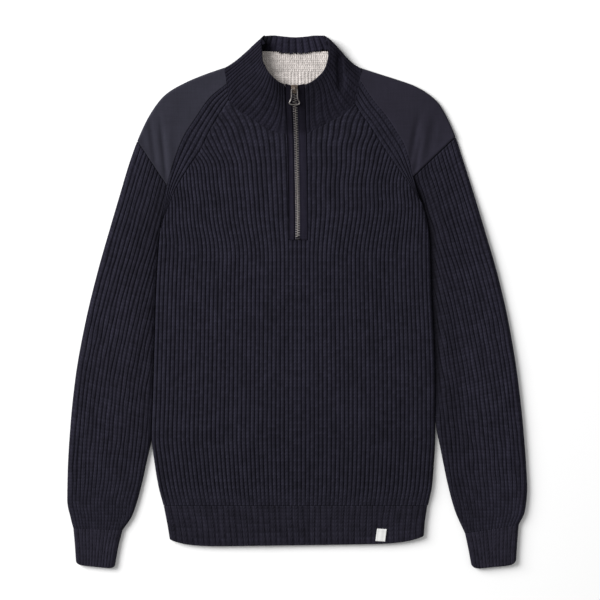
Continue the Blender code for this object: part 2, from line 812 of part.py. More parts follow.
def make_collar():
    """The neck's rib, round from one side of the zip to the other. Its back lies on
    the floor and its front on that, a little higher towards the top edge."""
    ribs = collar_ribs()
    folded_ribs = set(side_ribs("left") + side_ribs("right"))
    half = COLLAR_WALL / 2
    back_mid = half

    def point(i, j):
        rib = ribs[j]
        step = COLLAR_PROFILE[i % len(COLLAR_PROFILE)]
        seam = Vector((*rib.seam, 0))
        top = Vector((*rib.top, 0))
        run = (top - seam).normalized()
        length = (top - seam).length
        depth = blend(FRONT_ROLL, TURN_IN, rib.turned)
        travel = length * step.along - depth * step.turned_down
        travel = max(travel, COLLAR_STAND_OFF)
        rise = COLLAR_RISE * min(travel / length, 1) ** LIFT_POWER
        front_mid = WALL + SEAM_GAP + half + rise
        radius = (front_mid - back_mid) / 2
        away = run.cross(Vector((0, 0, 1)))
        if away.x * rib.seam[0] < 0:
            away.negate()
        angle = math.radians(rib.facing)
        facing = away * math.sin(angle) + Vector((0, 0, math.cos(angle)))
        middle = seam + run * travel
        middle.z = (front_mid + back_mid) / 2
        if rib in folded_ribs:
            middle -= away * (radius + half)
            middle += facing * radius
        else:
            middle.z = front_mid if rib.facing == 0 else back_mid
        ridge = RIB_RISE * rib.ridge * step.ribbed if rib.facing == 0 else 0.0
        inner_ridge = 0.0
        if step.bulk == 1 and rib.turned > 0:
            inner_ridge = TURN_IN_RISE * rib.ridge
        offset = half * step.through + ridge
        offset -= TURN_IN_BULK * step.bulk * rib.turned + inner_ridge
        return middle + facing * offset

    bm = grid(len(COLLAR_PROFILE), len(ribs) - 1, point)
    merge_doubles(bm)
    fill_open_ends(bm)
    finish("collar", bm, "navy_knit")


def make_neck_lining():
    """Cream knit on the back of the neck, in under the front's top edge."""
    floor = COLLAR_WALL + SEAM_GAP

    def place(i, j, height):
        return section_point(NECK_LINING[j], i / LINING_STEPS, height)

    bm = wall(
        LINING_STEPS,
        len(NECK_LINING) - 1,
        lambda i, j: place(i, j, floor + LINING_CLOTH),
        lambda i, j: place(i, j, floor),
    )
    finish("neck_lining", bm, "cream_knit")


def zip_stations(foot, head, steps):
    """Rows of points along the zip, closer where the collar lifts it."""
    lifted = [blend(NECK_SEAM_Y, head, k / steps) for k in range(steps + 1)]
    return [foot, *(row.y for row in CENTRE_LINE if foot < row.y < NECK_SEAM_Y), *lifted]


def zip_strip(name, near, far, stations, top, thick, material_name):
    """A strip along the zip, between two distances from its centre line."""

    def place(i, j, height):
        y = stations[j]
        return (centre_x(y) + (near, far)[i], y, height + front_lift(y))

    bm = wall(
        1,
        len(stations) - 1,
        lambda i, j: place(i, j, top),
        lambda i, j: place(i, j, top - thick),
    )
    finish(name, bm, material_name)


def make_zip():
    stations = zip_stations(ZIP_FOOT, ZIP_HEAD, 5)
    for side, turn in (("left", -1), ("right", 1)):
        near, far = turn * TAPE_INNER, turn * TAPE_EDGE[side]
        strip = (near, far, stations, TAPE_TOP, TAPE_CLOTH, "zip_tape_cloth")
        zip_strip("zip_tape_" + side, *strip)
    stop = [ZIP_FOOT, ZIP_FOOT + STOP_LENGTH]
    edges = (-CHAIN_HALF, CHAIN_HALF)
    height = TAPE_TOP + STOP_OVER_TAPE
    zip_strip("zip_bottom_stop", *edges, stop, height, STOP_DEPTH, "antique_brass")
    chain_head = SLIDER_AT - SLIDER_LENGTH / 2 - 2 * SEAM_GAP
    stations = zip_stations(stop[1] + SEAM_GAP, chain_head, 4)
    height = TAPE_TOP + CHAIN_OVER_TAPE
    zip_strip("zip_chain", *edges, stations, height, CHAIN_DEPTH, "antique_brass")


def slider_place():
    """The slider's own axes: its middle on the upper plate's top, and its slope."""
    step = 3.0
    rise = front_lift(SLIDER_AT + step) - front_lift(SLIDER_AT - step)
    slope = math.atan2(rise, 2 * step)
    height = TAPE_TOP + 2 * SEAM_GAP + PLATE + front_lift(SLIDER_AT)
    place = Vector((centre_x(SLIDER_AT), SLIDER_AT, height))
    return Matrix.Translation(place) @ Matrix.Rotation(slope, 4, "X")


def block(name, size, middle, rounding):
    """A box with rounded edges, in the slider's axes."""
    bm = bmesh.new()
    bmesh.ops.create_cube(bm, size=1)
    bmesh.ops.scale(bm, vec=size, verts=bm.verts)
    bmesh.ops.translate(bm, vec=middle, verts=bm.verts)
    if rounding:
        upright = []
        for edge in bm.edges:
            low, high = edge.verts
            if abs(low.co.z - high.co.z) > size[2] / 2:
                upright.append(edge)
        bmesh.ops.bevel(
            bm, geom=upright, offset=rounding, segments=3, profile=0.5, affect="EDGES"
        )
    bmesh.ops.transform(bm, matrix=slider_place(), verts=bm.verts)
    return finish(name, bm, "antique_brass")


def make_slider():
    """Two plates on a stem between the tapes, with a bail for the pull's axle."""
    stem_height = TAPE_CLOTH + 5 * SEAM_GAP
    under = -PLATE - stem_height
    size = (SLIDER_WIDTH, SLIDER_LENGTH, PLATE)
    slider = block("zip_slider", size, (0, 0, -PLATE / 2), PLATE_ROUND)
    size = (STEM_WIDTH, STEM_LENGTH, stem_height + 2 * SINK)
    stem = block("stem", size, (0, STEM_SHIFT, -PLATE - stem_height / 2), STEM_ROUND)
    size = (LOWER_PLATE_WIDTH, SLIDER_LENGTH - 2 * PLATE, PLATE)
    lower = block("lower", size, (0, 0, under - PLATE / 2), PLATE)
    size = (BAIL_WIDTH, BAIL_LENGTH, AXLE_OVER_PLATE + BAIL_OVER_AXLE + SINK)
    bail = block("bail", size, (0, 0, size[2] / 2 - SINK), 0)
    for piece in (stem, lower, bail):
        boolean(slider, piece, "UNION")
    bm = bmesh.new()
    bmesh.ops.create_cone(
        bm,
        cap_ends=True,
        segments=16,
        radius1=PULL_WIRE + AXLE_CLEARANCE,
        radius2=PULL_WIRE + AXLE_CLEARANCE,
        depth=2 * BAIL_WIDTH,
        matrix=Matrix.Rotation(math.pi / 2, 4, "Y"),
    )
    bmesh.ops.translate(bm, vec=(0, 0, AXLE_OVER_PLATE), verts=bm.verts)
    bmesh.ops.transform(bm, matrix=slider_place(), verts=bm.verts)
    boolean(slider, finish("axle_hole", bm, "antique_brass"), "DIFFERENCE")


# Half of the pull's wire, from the middle of its axle to the middle of its foot:
# distance from its centre line, and distance down from the axle.
Bend = namedtuple("Bend", "side down")
PULL_LOOP = (
    Bend(0.0, 0.0),
    Bend(3.0, 0.0),
    Bend(3.9, 0.5),
    Bend(4.2, 1.6),
    Bend(4.3, 6.0),
    Bend(4.6, 11.0),
    Bend(5.6, 15.0),
    Bend(7.1, 18.4),
    Bend(7.5, 19.8),
    Bend(7.2, 21.2),
    Bend(5.8, 22.0),
    Bend(3.0, 22.3),
    Bend(0.0, 22.4),
)


def make_pull():
    """A closed wire loop, narrow at the axle and flared at its foot."""
    far_side = [Bend(-bend.side, bend.down) for bend in PULL_LOOP[-2:0:-1]]
    axle = slider_place() @ Vector((0, 0, AXLE_OVER_PLATE))
    lie = Matrix.Rotation(PULL_DROOP, 4, "X")
    curve = bpy.data.curves.new("zip_pull", "CURVE")
    curve.dimensions = "3D"
    curve.bevel_depth = PULL_WIRE * MM
    curve.bevel_resolution = 2
    route = PULL_LOOP + tuple(far_side)
    spline = curve.splines.new("POLY")
    spline.points.add(len(route) - 1)
    for spot, bend in zip(spline.points, route):
        place = lie @ Vector((bend.side, -bend.down, 0)) * MM
        spot.co = (*place, 1)
    spline.use_cyclic_u = True
    curve.materials.append(surface_material("antique_brass"))
    pull = bpy.data.objects.new("zip_pull", curve)
    pull.location = axle * MM
    garment.objects.link(pull)


def make_label():
    """A small woven label, sewn on over the hem's ridges and left blank."""
    bm = bmesh.new()
    bmesh.ops.create_cube(bm, size=1)
    size = (LABEL_WIDTH, LABEL_LENGTH, LABEL_CLOTH)
    bmesh.ops.scale(bm, vec=size, verts=bm.verts)
    bmesh.ops.rotate(bm, matrix=Matrix.Rotation(LABEL_TURN, 3, "Z"), verts=bm.verts)
    height = FOLDED + RIB_RISE + SEAM_GAP + LABEL_CLOTH / 2
    bmesh.ops.translate(bm, vec=(*LABEL_AT, height), verts=bm.verts)
    finish("hem_label", bm, "label_white")


for old in list(bpy.data.objects):
    bpy.data.objects.remove(old)
garment = bpy.data.collections.new("quarter_zip_sweater")
bpy.context.scene.collection.children.link(garment)

make_back_panel()
make_front_panel()
make_hem_band()
for garment_side in ("left", "right"):
    make_sleeve(garment_side)
    make_cuff(garment_side)
    make_shoulder_patch(garment_side)
make_collar()
make_neck_lining()
make_zip()
make_slider()
make_pull()
make_label()
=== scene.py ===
"""Quarter zip sweater in rib knit, laid out flat with its front up.

Each section is a piece of the sweater, in the order in which it is made up. Sizes are
in millimetres and become metres when a piece is added. X runs to the wearer's left,
Y to the collar and Z up; "left" and "right" are the sides seen from above.
"""

import math
from collections import namedtuple

import bmesh
import bpy
from mathutils import Matrix, Vector, noise


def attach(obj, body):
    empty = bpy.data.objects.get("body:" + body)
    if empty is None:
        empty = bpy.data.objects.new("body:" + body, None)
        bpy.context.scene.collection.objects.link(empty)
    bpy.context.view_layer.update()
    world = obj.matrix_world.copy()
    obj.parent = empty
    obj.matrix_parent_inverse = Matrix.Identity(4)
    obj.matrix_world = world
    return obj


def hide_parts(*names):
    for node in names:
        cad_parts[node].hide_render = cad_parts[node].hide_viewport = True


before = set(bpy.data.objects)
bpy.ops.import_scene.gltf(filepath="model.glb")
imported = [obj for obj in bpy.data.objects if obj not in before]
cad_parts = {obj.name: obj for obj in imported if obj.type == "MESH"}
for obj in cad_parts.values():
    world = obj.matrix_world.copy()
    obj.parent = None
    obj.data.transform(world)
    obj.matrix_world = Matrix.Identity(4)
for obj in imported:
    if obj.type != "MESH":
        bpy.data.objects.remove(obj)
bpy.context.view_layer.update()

# ---------------------------------------------------------------------------------
# Front panel: the body's front, knitted in half-cardigan rib of a navy wool. Its
# wales fan out from the zip's slot, and four more run along each raglan seam. It is
# linked to the back at the sides, to the sleeves at the raglans and to the collar.

MM = 0.001
SIDES = ("left", "right")
OUTWARD = {"left": -1, "right": 1}  # the way along X
WALL = 3.0
SEAM_GAP = 0.3
FOLDED = 2 * WALL + SEAM_GAP  # two layers, lying on each other
STITCH = 4.9  # height of one stitch
WALE_STEPS = 6  # columns of faces across a wale
RIB_RISE = 1.4
RIDGE_POWER = 1.9  # the higher, the fuller a ridge is across
STITCH_SWELL = 0.14  # how much a ridge swells at each stitch's middle
UNEVEN_SWELL = 0.3
WAVES = (120, 160)  # the soft waves in which the cloth lies, across and along
WAVE_DEPTH = 0.9
RIPPLE_DEPTH = 0.35
FRONT_GROOVE = FOLDED - 0.1  # height of the grooves
FRONT_SWAY = 0.3  # how far a wale wanders sideways
WALE_CROWDING = 0.2  # how much closer the outer wales stand beside the armpit
CROWDED_FROM = (60, 140)  # Y between which that begins, and Y between which it ends
CROWDED_TO = (235, 185)
HEM_SEAM = -294.4
HEM_DIP = 0.4  # how far the cloth dips at its link with the hem
HEM_DIP_LENGTH = 2.0
HEM_RIDGE = 0.5  # how high the ridges begin there, and how long they take to rise
HEM_RIDGE_LENGTH = 30
SLOT_FOOT = 89.0
SLOT_STEP = 0.1  # from the row of faces under the slot's foot to the one at it
SLOT_EDGE = 0.6  # height of the rib's cut edge at the slot, as a share of a ridge
BAND_WALES = 4
BAND_WIDTH = 22
BAND_RISE = 1.25
BAND_KNIT = (0.12, BAND_WALES - 0.3)  # how much of its wales the seams leave in sight
BAND_ROUND = (0.8, 0.3)  # how wide and deep its edge falls above the armpit
BAND_ROUNDS = (42, 2)  # heights above the armpit between which that becomes the side's
BAND_ROWS = 1.9
BAND_WALE = 50  # the band's wales are numbered from here, so that they swell by themselves
# Painted shade on the front: darker low down and right of the middle, away from the light.
PAINTED_SHADE_LOW = 0.10
PAINTED_SHADE_BELOW = (-110, -220)
PAINTED_SHADE_RIGHT = 0.045
PAINTED_SHADE_WALES = 12

Spine = namedtuple("Spine", "y x")
SPINE = (
    Spine(-294.4, 0.7),
    Spine(122.8, 0.7),
    Spine(173.6, 0.0),
    Spine(220.0, -0.8),
    Spine(263.5, -2.2),
    Spine(278.0, -2.8),
    Spine(315.0, -4.3),
)

# Rows of stitches of each half, from the hem up: how far from the middle line the
# side or the raglan's wales are, how many wales reach it, how far out the slot or the
# neck seam is, and the station along the raglan seam.
Course = namedtuple("Course", "y edge wales inner seam")
FRONT_COURSES = {
    "left": (
        Course(-294.4, 194.3, 34.0, 13.4, 7.0),
        Course(-267.0, 201.5, 34.0, 13.4, 7.0),
        Course(-232.0, 207.3, 34.0, 13.4, 7.0),
        Course(-196.0, 211.4, 34.0, 13.4, 7.0),
        Course(-142.5, 209.5, 34.0, 13.4, 7.0),
        Course(-55.5, 206.9, 34.0, 13.4, 7.0),
        Course(17.0, 204.7, 34.0, 13.4, 7.0),
        Course(82.3, 200.8, 34.0, 13.4, 7.0),
        Course(107.0, 198.2, 33.5, 13.4, 7.0),
        Course(137.4, 187.3, 31.4, 13.4, 6.0),
        Course(165.0, 175.1, 28.4, 13.4, 5.0),
        Course(194.0, 156.9, 24.3, 13.4, 4.0),
        Course(220.0, 139.0, 18.6, 13.4, 3.0),
        Course(241.8, 128.0, 15.7, 13.4, 2.3),
        Course(247.6, 125.0, 15.1, 37.3, 2.0),
        Course(254.8, 120.6, 14.1, 48.8, 1.7),
        Course(263.5, 115.0, 12.8, 60.3, 1.4),
        Course(278.0, 105.6, 10.8, 83.4, 1.0),
        Course(292.5, 95.8, 9.2, 95.8, 0.0),
    ),
    "right": (
        Course(-294.4, 188.5, 32.0, 15.3, 7.0),
        Course(-267.0, 194.3, 32.0, 15.3, 7.0),
        Course(-232.0, 197.2, 32.0, 15.3, 7.0),
        Course(-196.0, 199.1, 32.0, 15.3, 7.0),
        Course(-142.5, 199.1, 32.0, 15.3, 7.0),
        Course(-55.5, 197.2, 32.0, 15.3, 7.0),
        Course(17.0, 193.6, 32.0, 15.3, 7.0),
        Course(82.3, 191.4, 31.9, 15.3, 7.0),
        Course(107.0, 188.9, 31.5, 15.3, 7.0),
        Course(140.3, 181.0, 29.9, 15.3, 7.0),
        Course(157.7, 169.8, 28.0, 15.3, 6.0),
        Course(175.0, 158.4, 25.7, 15.3, 5.0),
        Course(205.5, 137.5, 20.1, 15.3, 4.0),
        Course(230.2, 121.6, 16.2, 15.3, 3.0),
        Course(241.8, 114.7, 14.5, 15.3, 2.7),
        Course(249.0, 110.3, 13.7, 26.5, 2.4),
        Course(257.8, 104.8, 12.7, 44.0, 2.0),
        Course(266.5, 98.8, 11.5, 61.5, 1.5),
        Course(275.0, 92.9, 10.2, 74.7, 1.0),
        Course(287.4, 86.7, 8.6, 86.7, 0.0),
    ),
}
FIRST_WALE = 3.0  # from the middle line to the first ridge's middle
SIDE_ROUND = {"left": (3.2, 2.6), "right": (7.0, 4.2)}  # how wide and deep a side falls
ARMPIT_Y = {"left": 107.0, "right": 140.3}
ARMPIT_STATION = 7

# The sleeve's sections from the neck to the cuff: its outer edge, its inner edge
# (the raglan seam down to station 7), how wide that edge rounds, the wale pitch and
# how deep the inner edge lies sunk beside the body.
Section = namedtuple("Section", "station outer_x outer_y inner_x inner_y roll pitch sunk")
SLEEVE_SECTIONS = {
    "left": (
        Section(0, -105.1, 338.9, -101.8, 315.0, 0.0, 6.0, 0.0),
        Section(1, -134.1, 328.8, -126.9, 294.0, 0.0, 6.0, 0.0),
        Section(2, -161.7, 317.2, -147.2, 265.0, 0.0, 6.0, 0.0),
        Section(3, -190.7, 299.8, -164.6, 237.4, 0.0, 6.0, 0.0),
        Section(4, -212.4, 272.2, -177.6, 204.1, 0.0, 6.0, 0.0),
        Section(5, -231.3, 233.1, -187.8, 167.8, 0.0, 6.0, 0.0),
        Section(6, -244.3, 196.8, -192.1, 140.3, 0.0, 6.0, 0.5),
        Section(7, -255.9, 157.7, -197.9, 107.0, 0.0, 6.0, 0.8),
        Section(8, -270.4, 108.4, -200.3, 82.3, 3.2, 6.0, 0.9),
        Section(9, -289.3, 41.6, -204.2, 17.0, 3.2, 6.0, 0.8),
        Section(10, -306.4, -29.0, -206.4, -55.5, 3.2, 6.0, 0.7),
        Section(11, -320.6, -107.0, -209.0, -142.5, 3.2, 6.0, 0.5),
        Section(12, -328.2, -178.0, -211.5, -196.0, 3.2, 6.0, 0.3),
        Section(13, -332.1, -243.0, -219.8, -241.0, 3.2, 5.8, 0.0),
        Section(14, -332.9, -286.0, -231.2, -287.5, 3.2, 5.3, 0.0),
        Section(15, -328.4, -311.0, -239.5, -310.7, 3.2, 4.8, 0.0),
        Section(16, -324.2, -327.2, -252.9, -330.5, 3.2, 4.2, 0.0),
    ),
    "right": (
        Section(0, 92.1, 338.2, 90.3, 321.5, 0.0, 6.0, 0.0),
        Section(1, 121.1, 328.8, 110.9, 291.1, 0.0, 6.0, 0.0),
        Section(2, 144.3, 321.5, 126.9, 271.5, 0.0, 6.0, 0.0),
        Section(3, 171.8, 311.4, 141.4, 249.8, 0.0, 6.0, 0.0),
        Section(4, 203.2, 288.8, 155.9, 224.4, 0.0, 6.0, 0.0),
        Section(5, 229.1, 238.9, 167.5, 180.9, 0.0, 6.0, 1.8),
        Section(6, 237.1, 214.2, 172.6, 162.0, 0.0, 6.0, 3.2),
        Section(7, 248.7, 178.0, 180.5, 140.3, 0.0, 6.0, 3.9),
        Section(8, 260.3, 140.3, 189.8, 107.0, 3.2, 6.0, 3.9),
        Section(9, 273.3, 96.7, 192.6, 82.3, 3.2, 6.0, 3.9),
        Section(10, 289.3, 41.6, 194.8, 17.0, 3.2, 6.0, 3.8),
        Section(11, 305.6, -29.0, 198.4, -55.5, 3.2, 6.0, 3.4),
        Section(12, 319.5, -113.5, 200.3, -142.5, 3.2, 6.0, 2.2),
        Section(13, 327.0, -182.0, 201.2, -174.0, 3.2, 6.0, 0.7),
        Section(14, 331.0, -233.0, 211.1, -232.5, 3.2, 6.0, 0.0),
        Section(15, 332.8, -270.0, 218.8, -268.6, 3.2, 5.8, 0.0),
        Section(16, 329.4, -303.0, 228.1, -302.0, 3.2, 5.2, 0.0),
        Section(17, 320.6, -322.4, 242.5, -334.8, 3.2, 4.4, 0.0),
    ),
}


def blend(low, high, share):
    return low + (high - low) * share


def clamp(value, low, high):
    return max(low, min(high, value))


def ease(share):
    """From 0 to 1 with no corner at either end."""
    share = clamp(share, 0, 1)
    return share * share * (3 - 2 * share)


def fade(value, start, end):
    """From 0 at start to 1 at end, eased. The end may be the lower one."""
    return ease((value - start) / (end - start))


def calm_slope(first, second):
    """A slope with which a curve passes a row and doesn't overshoot it."""
    if first * second <= 0:
        return 0.0
    return 2 * first * second / (first + second)


def row_at(rows, place):
    """A table's row at a value of its first column, on a smooth curve through the
    rows."""
    place = clamp(place, rows[0][0], rows[-1][0])
    k = max(n for n in range(len(rows) - 1) if rows[n][0] <= place)
    low, high = rows[k], rows[k + 1]
    before = rows[k - 1] if k else None
    after = rows[k + 2] if k + 2 < len(rows) else None
    run = high[0] - low[0]
    t = (place - low[0]) / run
    values = []
    for field, (start, end) in enumerate(zip(low, high)):
        middle = (end - start) / run
        first = last = middle
        if before:
            first = (start - before[field]) / (low[0] - before[0])
        if after:
            last = (after[field] - end) / (after[0] - high[0])
        leave = calm_slope(first, middle) * run
        arrive = calm_slope(middle, last) * run
        bend = (1 - t) * leave - t * arrive + (2 * t - 1) * (end - start)
        values.append(blend(start, end, t) + t * (1 - t) * bend)
    return type(low)(*values)


def raglan_spot(side, station):
    section = row_at(SLEEVE_SECTIONS[side], station)
    return Vector((section.inner_x, section.inner_y))


def spine_x(y):
    return row_at(SPINE, y).x


def even_steps(low, high, step):
    """Places from low to high, about this step apart."""
    count = max(round((high - low) / step), 1)
    return [blend(low, high, k / count) for k in range(count + 1)]


def waver(x, y, seed):
    """Smooth noise from -1 to 1. Each use of it has its own seed."""
    return noise.noise(Vector((x, y, seed)))


def ridge_of(wale):
    """Height across a wale, from 0 in the groove to 1 along the middle of the ridge."""
    return 1 - abs(2 * (wale % 1) - 1) ** RIDGE_POWER


def stitch_swell(wale, course):
    """How much a stitch swells its ridge: fuller at its middle, no two alike."""
    uneven = waver(math.floor(wale) * 3.7, course * 0.8, 0.5)
    return 1 + STITCH_SWELL * math.cos(2 * math.pi * course) + UNEVEN_SWELL * uneven


def lie(x, y):
    """The soft unevenness with which the cloth lies, in millimetres."""
    spot = Vector((x / WAVES[0], y / WAVES[1], 0.3))
    return WAVE_DEPTH * noise.noise(spot) + RIPPLE_DEPTH * noise.noise(spot * 2.7)


def skin(columns, rows, point, uv, shade=lambda i, j: 1.0):
    """Quads whose corner (i, j) lies at point(i, j). uv(i, j, after) is its place in
    the knit, where after tells whether the face lies past column i or before it, and
    shade(i, j) is how light its colour is there, a painted shade."""
    bm = bmesh.new()
    bmesh.ops.create_grid(bm, x_segments=columns, y_segments=rows, size=1)
    for name in ("knit", "shade"):
        bm.loops.layers.uv.new(name)
    knit, shades = bm.loops.layers.uv["knit"], bm.loops.layers.uv["shade"]
    place = {}
    for vertex in bm.verts:
        i = round((vertex.co.x + 1) / 2 * columns)
        j = round((vertex.co.y + 1) / 2 * rows)
        place[vertex] = (i, j)
        vertex.co = point(i, j)
    for face in bm.faces:
        first = min(place[vertex][0] for vertex in face.verts)
        for loop in face.loops:
            i, j = place[loop.vert]
            loop[knit].uv = uv(i, j, i == first)
            loop[shades].uv = (shade(i, j), 0)
    return bm


def joined(skins):
    """One bmesh from several, with their shared edges merged."""
    whole = bmesh.new()
    for part in skins:
        mesh = bpy.data.meshes.new("skin")
        part.to_mesh(mesh)
        part.free()
        whole.from_mesh(mesh)
        bpy.data.meshes.remove(mesh)
    bmesh.ops.remove_doubles(whole, verts=whole.verts, dist=0.02)
    return whole


def close_flat(bm, height):
    """Takes a skin's rim straight to this height and closes it with one face."""
    rim = [edge for edge in bm.edges if edge.is_boundary]
    walls = bmesh.ops.extrude_edge_only(bm, edges=rim)["geom"]
    for item in walls:
        if isinstance(item, bmesh.types.BMVert):
            item.co.z = height
    rim = [item for item in walls if isinstance(item, bmesh.types.BMEdge)]
    bmesh.ops.holes_fill(bm, edges=[e for e in rim if e.is_boundary], sides=0)


def add_piece(name, bm, material, body="garment"):
    """Turns millimetres to metres and adds the piece, riding on its body."""
    bmesh.ops.remove_doubles(bm, verts=bm.verts, dist=0.01)
    bmesh.ops.dissolve_degenerate(bm, edges=bm.edges, dist=0.004)
    bmesh.ops.recalc_face_normals(bm, faces=bm.faces)
    bmesh.ops.scale(bm, vec=(MM, MM, MM), verts=bm.verts)
    mesh = bpy.data.meshes.new(name)
    bm.to_mesh(mesh)
    bm.free()
    mesh.materials.append(material)
    mesh.shade_smooth()
    mesh.set_sharp_from_angle(angle=math.radians(60))
    piece = bpy.data.objects.new(name, mesh)
    bpy.context.scene.collection.objects.link(piece)
    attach(piece, body)
    return piece


def new_group(name, inputs, outputs):
    """An empty node group with these sockets, each a name and a type. Also gives its
    inputs as its nodes see them, and the sockets that put its outputs out."""
    group = bpy.data.node_groups.new(name, "ShaderNodeTree")
    for socket, kind in inputs:
        group.interface.new_socket(socket, in_out="INPUT", socket_type="NodeSocket" + kind)
    for socket, kind in outputs:
        group.interface.new_socket(socket, in_out="OUTPUT", socket_type="NodeSocket" + kind)
    given = group.nodes.new("NodeGroupInput").outputs
    result = group.nodes.new("NodeGroupOutput").inputs
    return group, given, result


def feed(tree, socket, source):
    """Sets a socket to a value, or links it to another node's socket."""
    if isinstance(source, bpy.types.NodeSocket):
        tree.links.new(source, socket)
    else:
        socket.default_value = source


def math_node(tree, operation, *sources):
    node = tree.nodes.new("ShaderNodeMath")
    node.operation = operation
    for socket, source in zip(node.inputs, sources):
        feed(tree, socket, source)
    return node.outputs[0]


def vector_node(tree, operation, vector, by=None):
    node = tree.nodes.new("ShaderNodeVectorMath")
    node.operation = operation
    feed(tree, node.inputs[0], vector)
    if by is not None:
        feed(tree, node.inputs["Scale" if operation == "SCALE" else 1], by)
    return node.outputs[0]


def axes_of(tree, vector):
    node = tree.nodes.new("ShaderNodeSeparateXYZ")
    tree.links.new(vector, node.inputs[0])
    return node.outputs


def ramp_node(tree, value, low, high, to_low, to_high):
    """The value's place from low to high, eased, as a number from to_low to to_high."""
    node = tree.nodes.new("ShaderNodeMapRange")
    node.interpolation_type = "SMOOTHSTEP"
    for socket, source in zip(node.inputs, (value, low, high, to_low, to_high)):
        feed(tree, socket, source)
    return node.outputs[0]


def mix_node(tree, share, first, second, kind="MIX"):
    node = tree.nodes.new("ShaderNodeMix")
    node.data_type = "RGBA"
    node.blend_type = kind
    feed(tree, node.inputs["Factor"], share)
    feed(tree, node.inputs[6], first)
    feed(tree, node.inputs[7], second)
    return node.outputs[2]


def noise_node(tree, place, scale, detail=2.0, roughness=0.5):
    node = tree.nodes.new("ShaderNodeTexNoise")
    node.inputs["Scale"].default_value = scale
    node.inputs["Detail"].default_value = detail
    node.inputs["Roughness"].default_value = roughness
    feed(tree, node.inputs["Vector"], place)
    return node.outputs["Fac"]


def make_rib_stitches():
    """Rib knit: a chevron of two yarn legs for each stitch along each ridge, a groove
    that each stitch bridges, loose fibres, and wool dyed a little unevenly. The grooves
    and the gaps between the legs take a darker colour, a painted shade."""
    inputs = [
        ("Knit", "Vector"),
        ("Object", "Vector"),
        ("Ridge Colour", "Color"),
        ("Groove Shade Colour", "Color"),
        ("Unevenness", "Float"),
        ("Shade", "Float"),
    ]
    outputs = [("Colour", "Color"), ("Height", "Float")]
    group, given, result = new_group("rib_stitches", inputs, outputs)
    knit = axes_of(group, given["Knit"])

    # The yarn's legs climb from the ridge's middle line to its two grooves.
    across = math_node(group, "SUBTRACT", math_node(group, "FRACT", knit["X"]), 0.5)
    across = math_node(group, "MULTIPLY", math_node(group, "ABSOLUTE", across), 2.0)
    slant = math_node(group, "MULTIPLY", across, 1.1)
    climb = math_node(group, "MULTIPLY_ADD", knit["Y"], 2.0, slant)
    leg = ramp_node(group, math_node(group, "PINGPONG", climb, 1.0), 0.05, 0.7, 0.0, 1.0)
    parting = ramp_node(group, across, 0.0, 0.3, 0.35, 1.0)
    yarn = math_node(group, "MULTIPLY", leg, parting)
    ridge = ramp_node(group, across, 0.3, 0.95, 1.0, 0.0)

    fibres = noise_node(group, given["Object"], 1500.0, 3.0, 0.7)
    relief = math_node(group, "MULTIPLY", yarn, ridge)
    relief = math_node(group, "MULTIPLY_ADD", fibres, 0.35, relief)

    # A bridge crosses the groove once a stitch, and each is drawn more or less tight.
    draw = group.nodes.new("ShaderNodeTexWhiteNoise")
    draw.noise_dimensions = "2D"
    feed(group, draw.inputs["Vector"], vector_node(group, "FLOOR", given["Knit"]))
    draw = draw.outputs["Value"]
    bridge = math_node(group, "PINGPONG", math_node(group, "ADD", knit["Y"], 0.3), 0.5)
    bridge = ramp_node(group, bridge, 0.1, 0.45, 0.0, 1.0)
    tight = math_node(group, "MULTIPLY_ADD", draw, 0.55, 0.4)
    bridge = math_node(group, "MULTIPLY", bridge, tight)
    # Painted shade: the darker groove colour fills the grooves and the gaps between the legs.
    lit = math_node(group, "MULTIPLY_ADD", yarn, 0.7, 0.35)
    lit = math_node(group, "MULTIPLY", lit, math_node(group, "MAXIMUM", ridge, bridge))
    colour = mix_node(group, lit, given["Groove Shade Colour"], given["Ridge Colour"])

    # The dye is uneven in clouds, from stitch to stitch and along each wale. Less its
    # mean of 1.72, the sum leaves the wool's own colour as it is.
    along_wale = vector_node(group, "MULTIPLY", given["Knit"], (0.9, 0.06, 1.0))
    streak = noise_node(group, along_wale, 1.0, 1.0, 0.5)
    clouds = noise_node(group, given["Object"], 38.0, 3.0, 0.6)
    dye = math_node(group, "ADD", clouds, fibres)
    dye = math_node(group, "MULTIPLY_ADD", draw, 0.55, dye)
    dye = math_node(group, "MULTIPLY_ADD", streak, 0.9, dye)
    dye = math_node(group, "SUBTRACT", dye, 1.72)
    dye = math_node(group, "MULTIPLY_ADD", dye, given["Unevenness"], 1.0)
    # The piece's painted shade, from its shade UVs, darkens the colour.
    dye = math_node(group, "MULTIPLY", dye, given["Shade"])
    feed(group, result["Colour"], vector_node(group, "SCALE", colour, dye))
    feed(group, result["Height"], relief)
    return group


rib_stitches = make_rib_stitches()


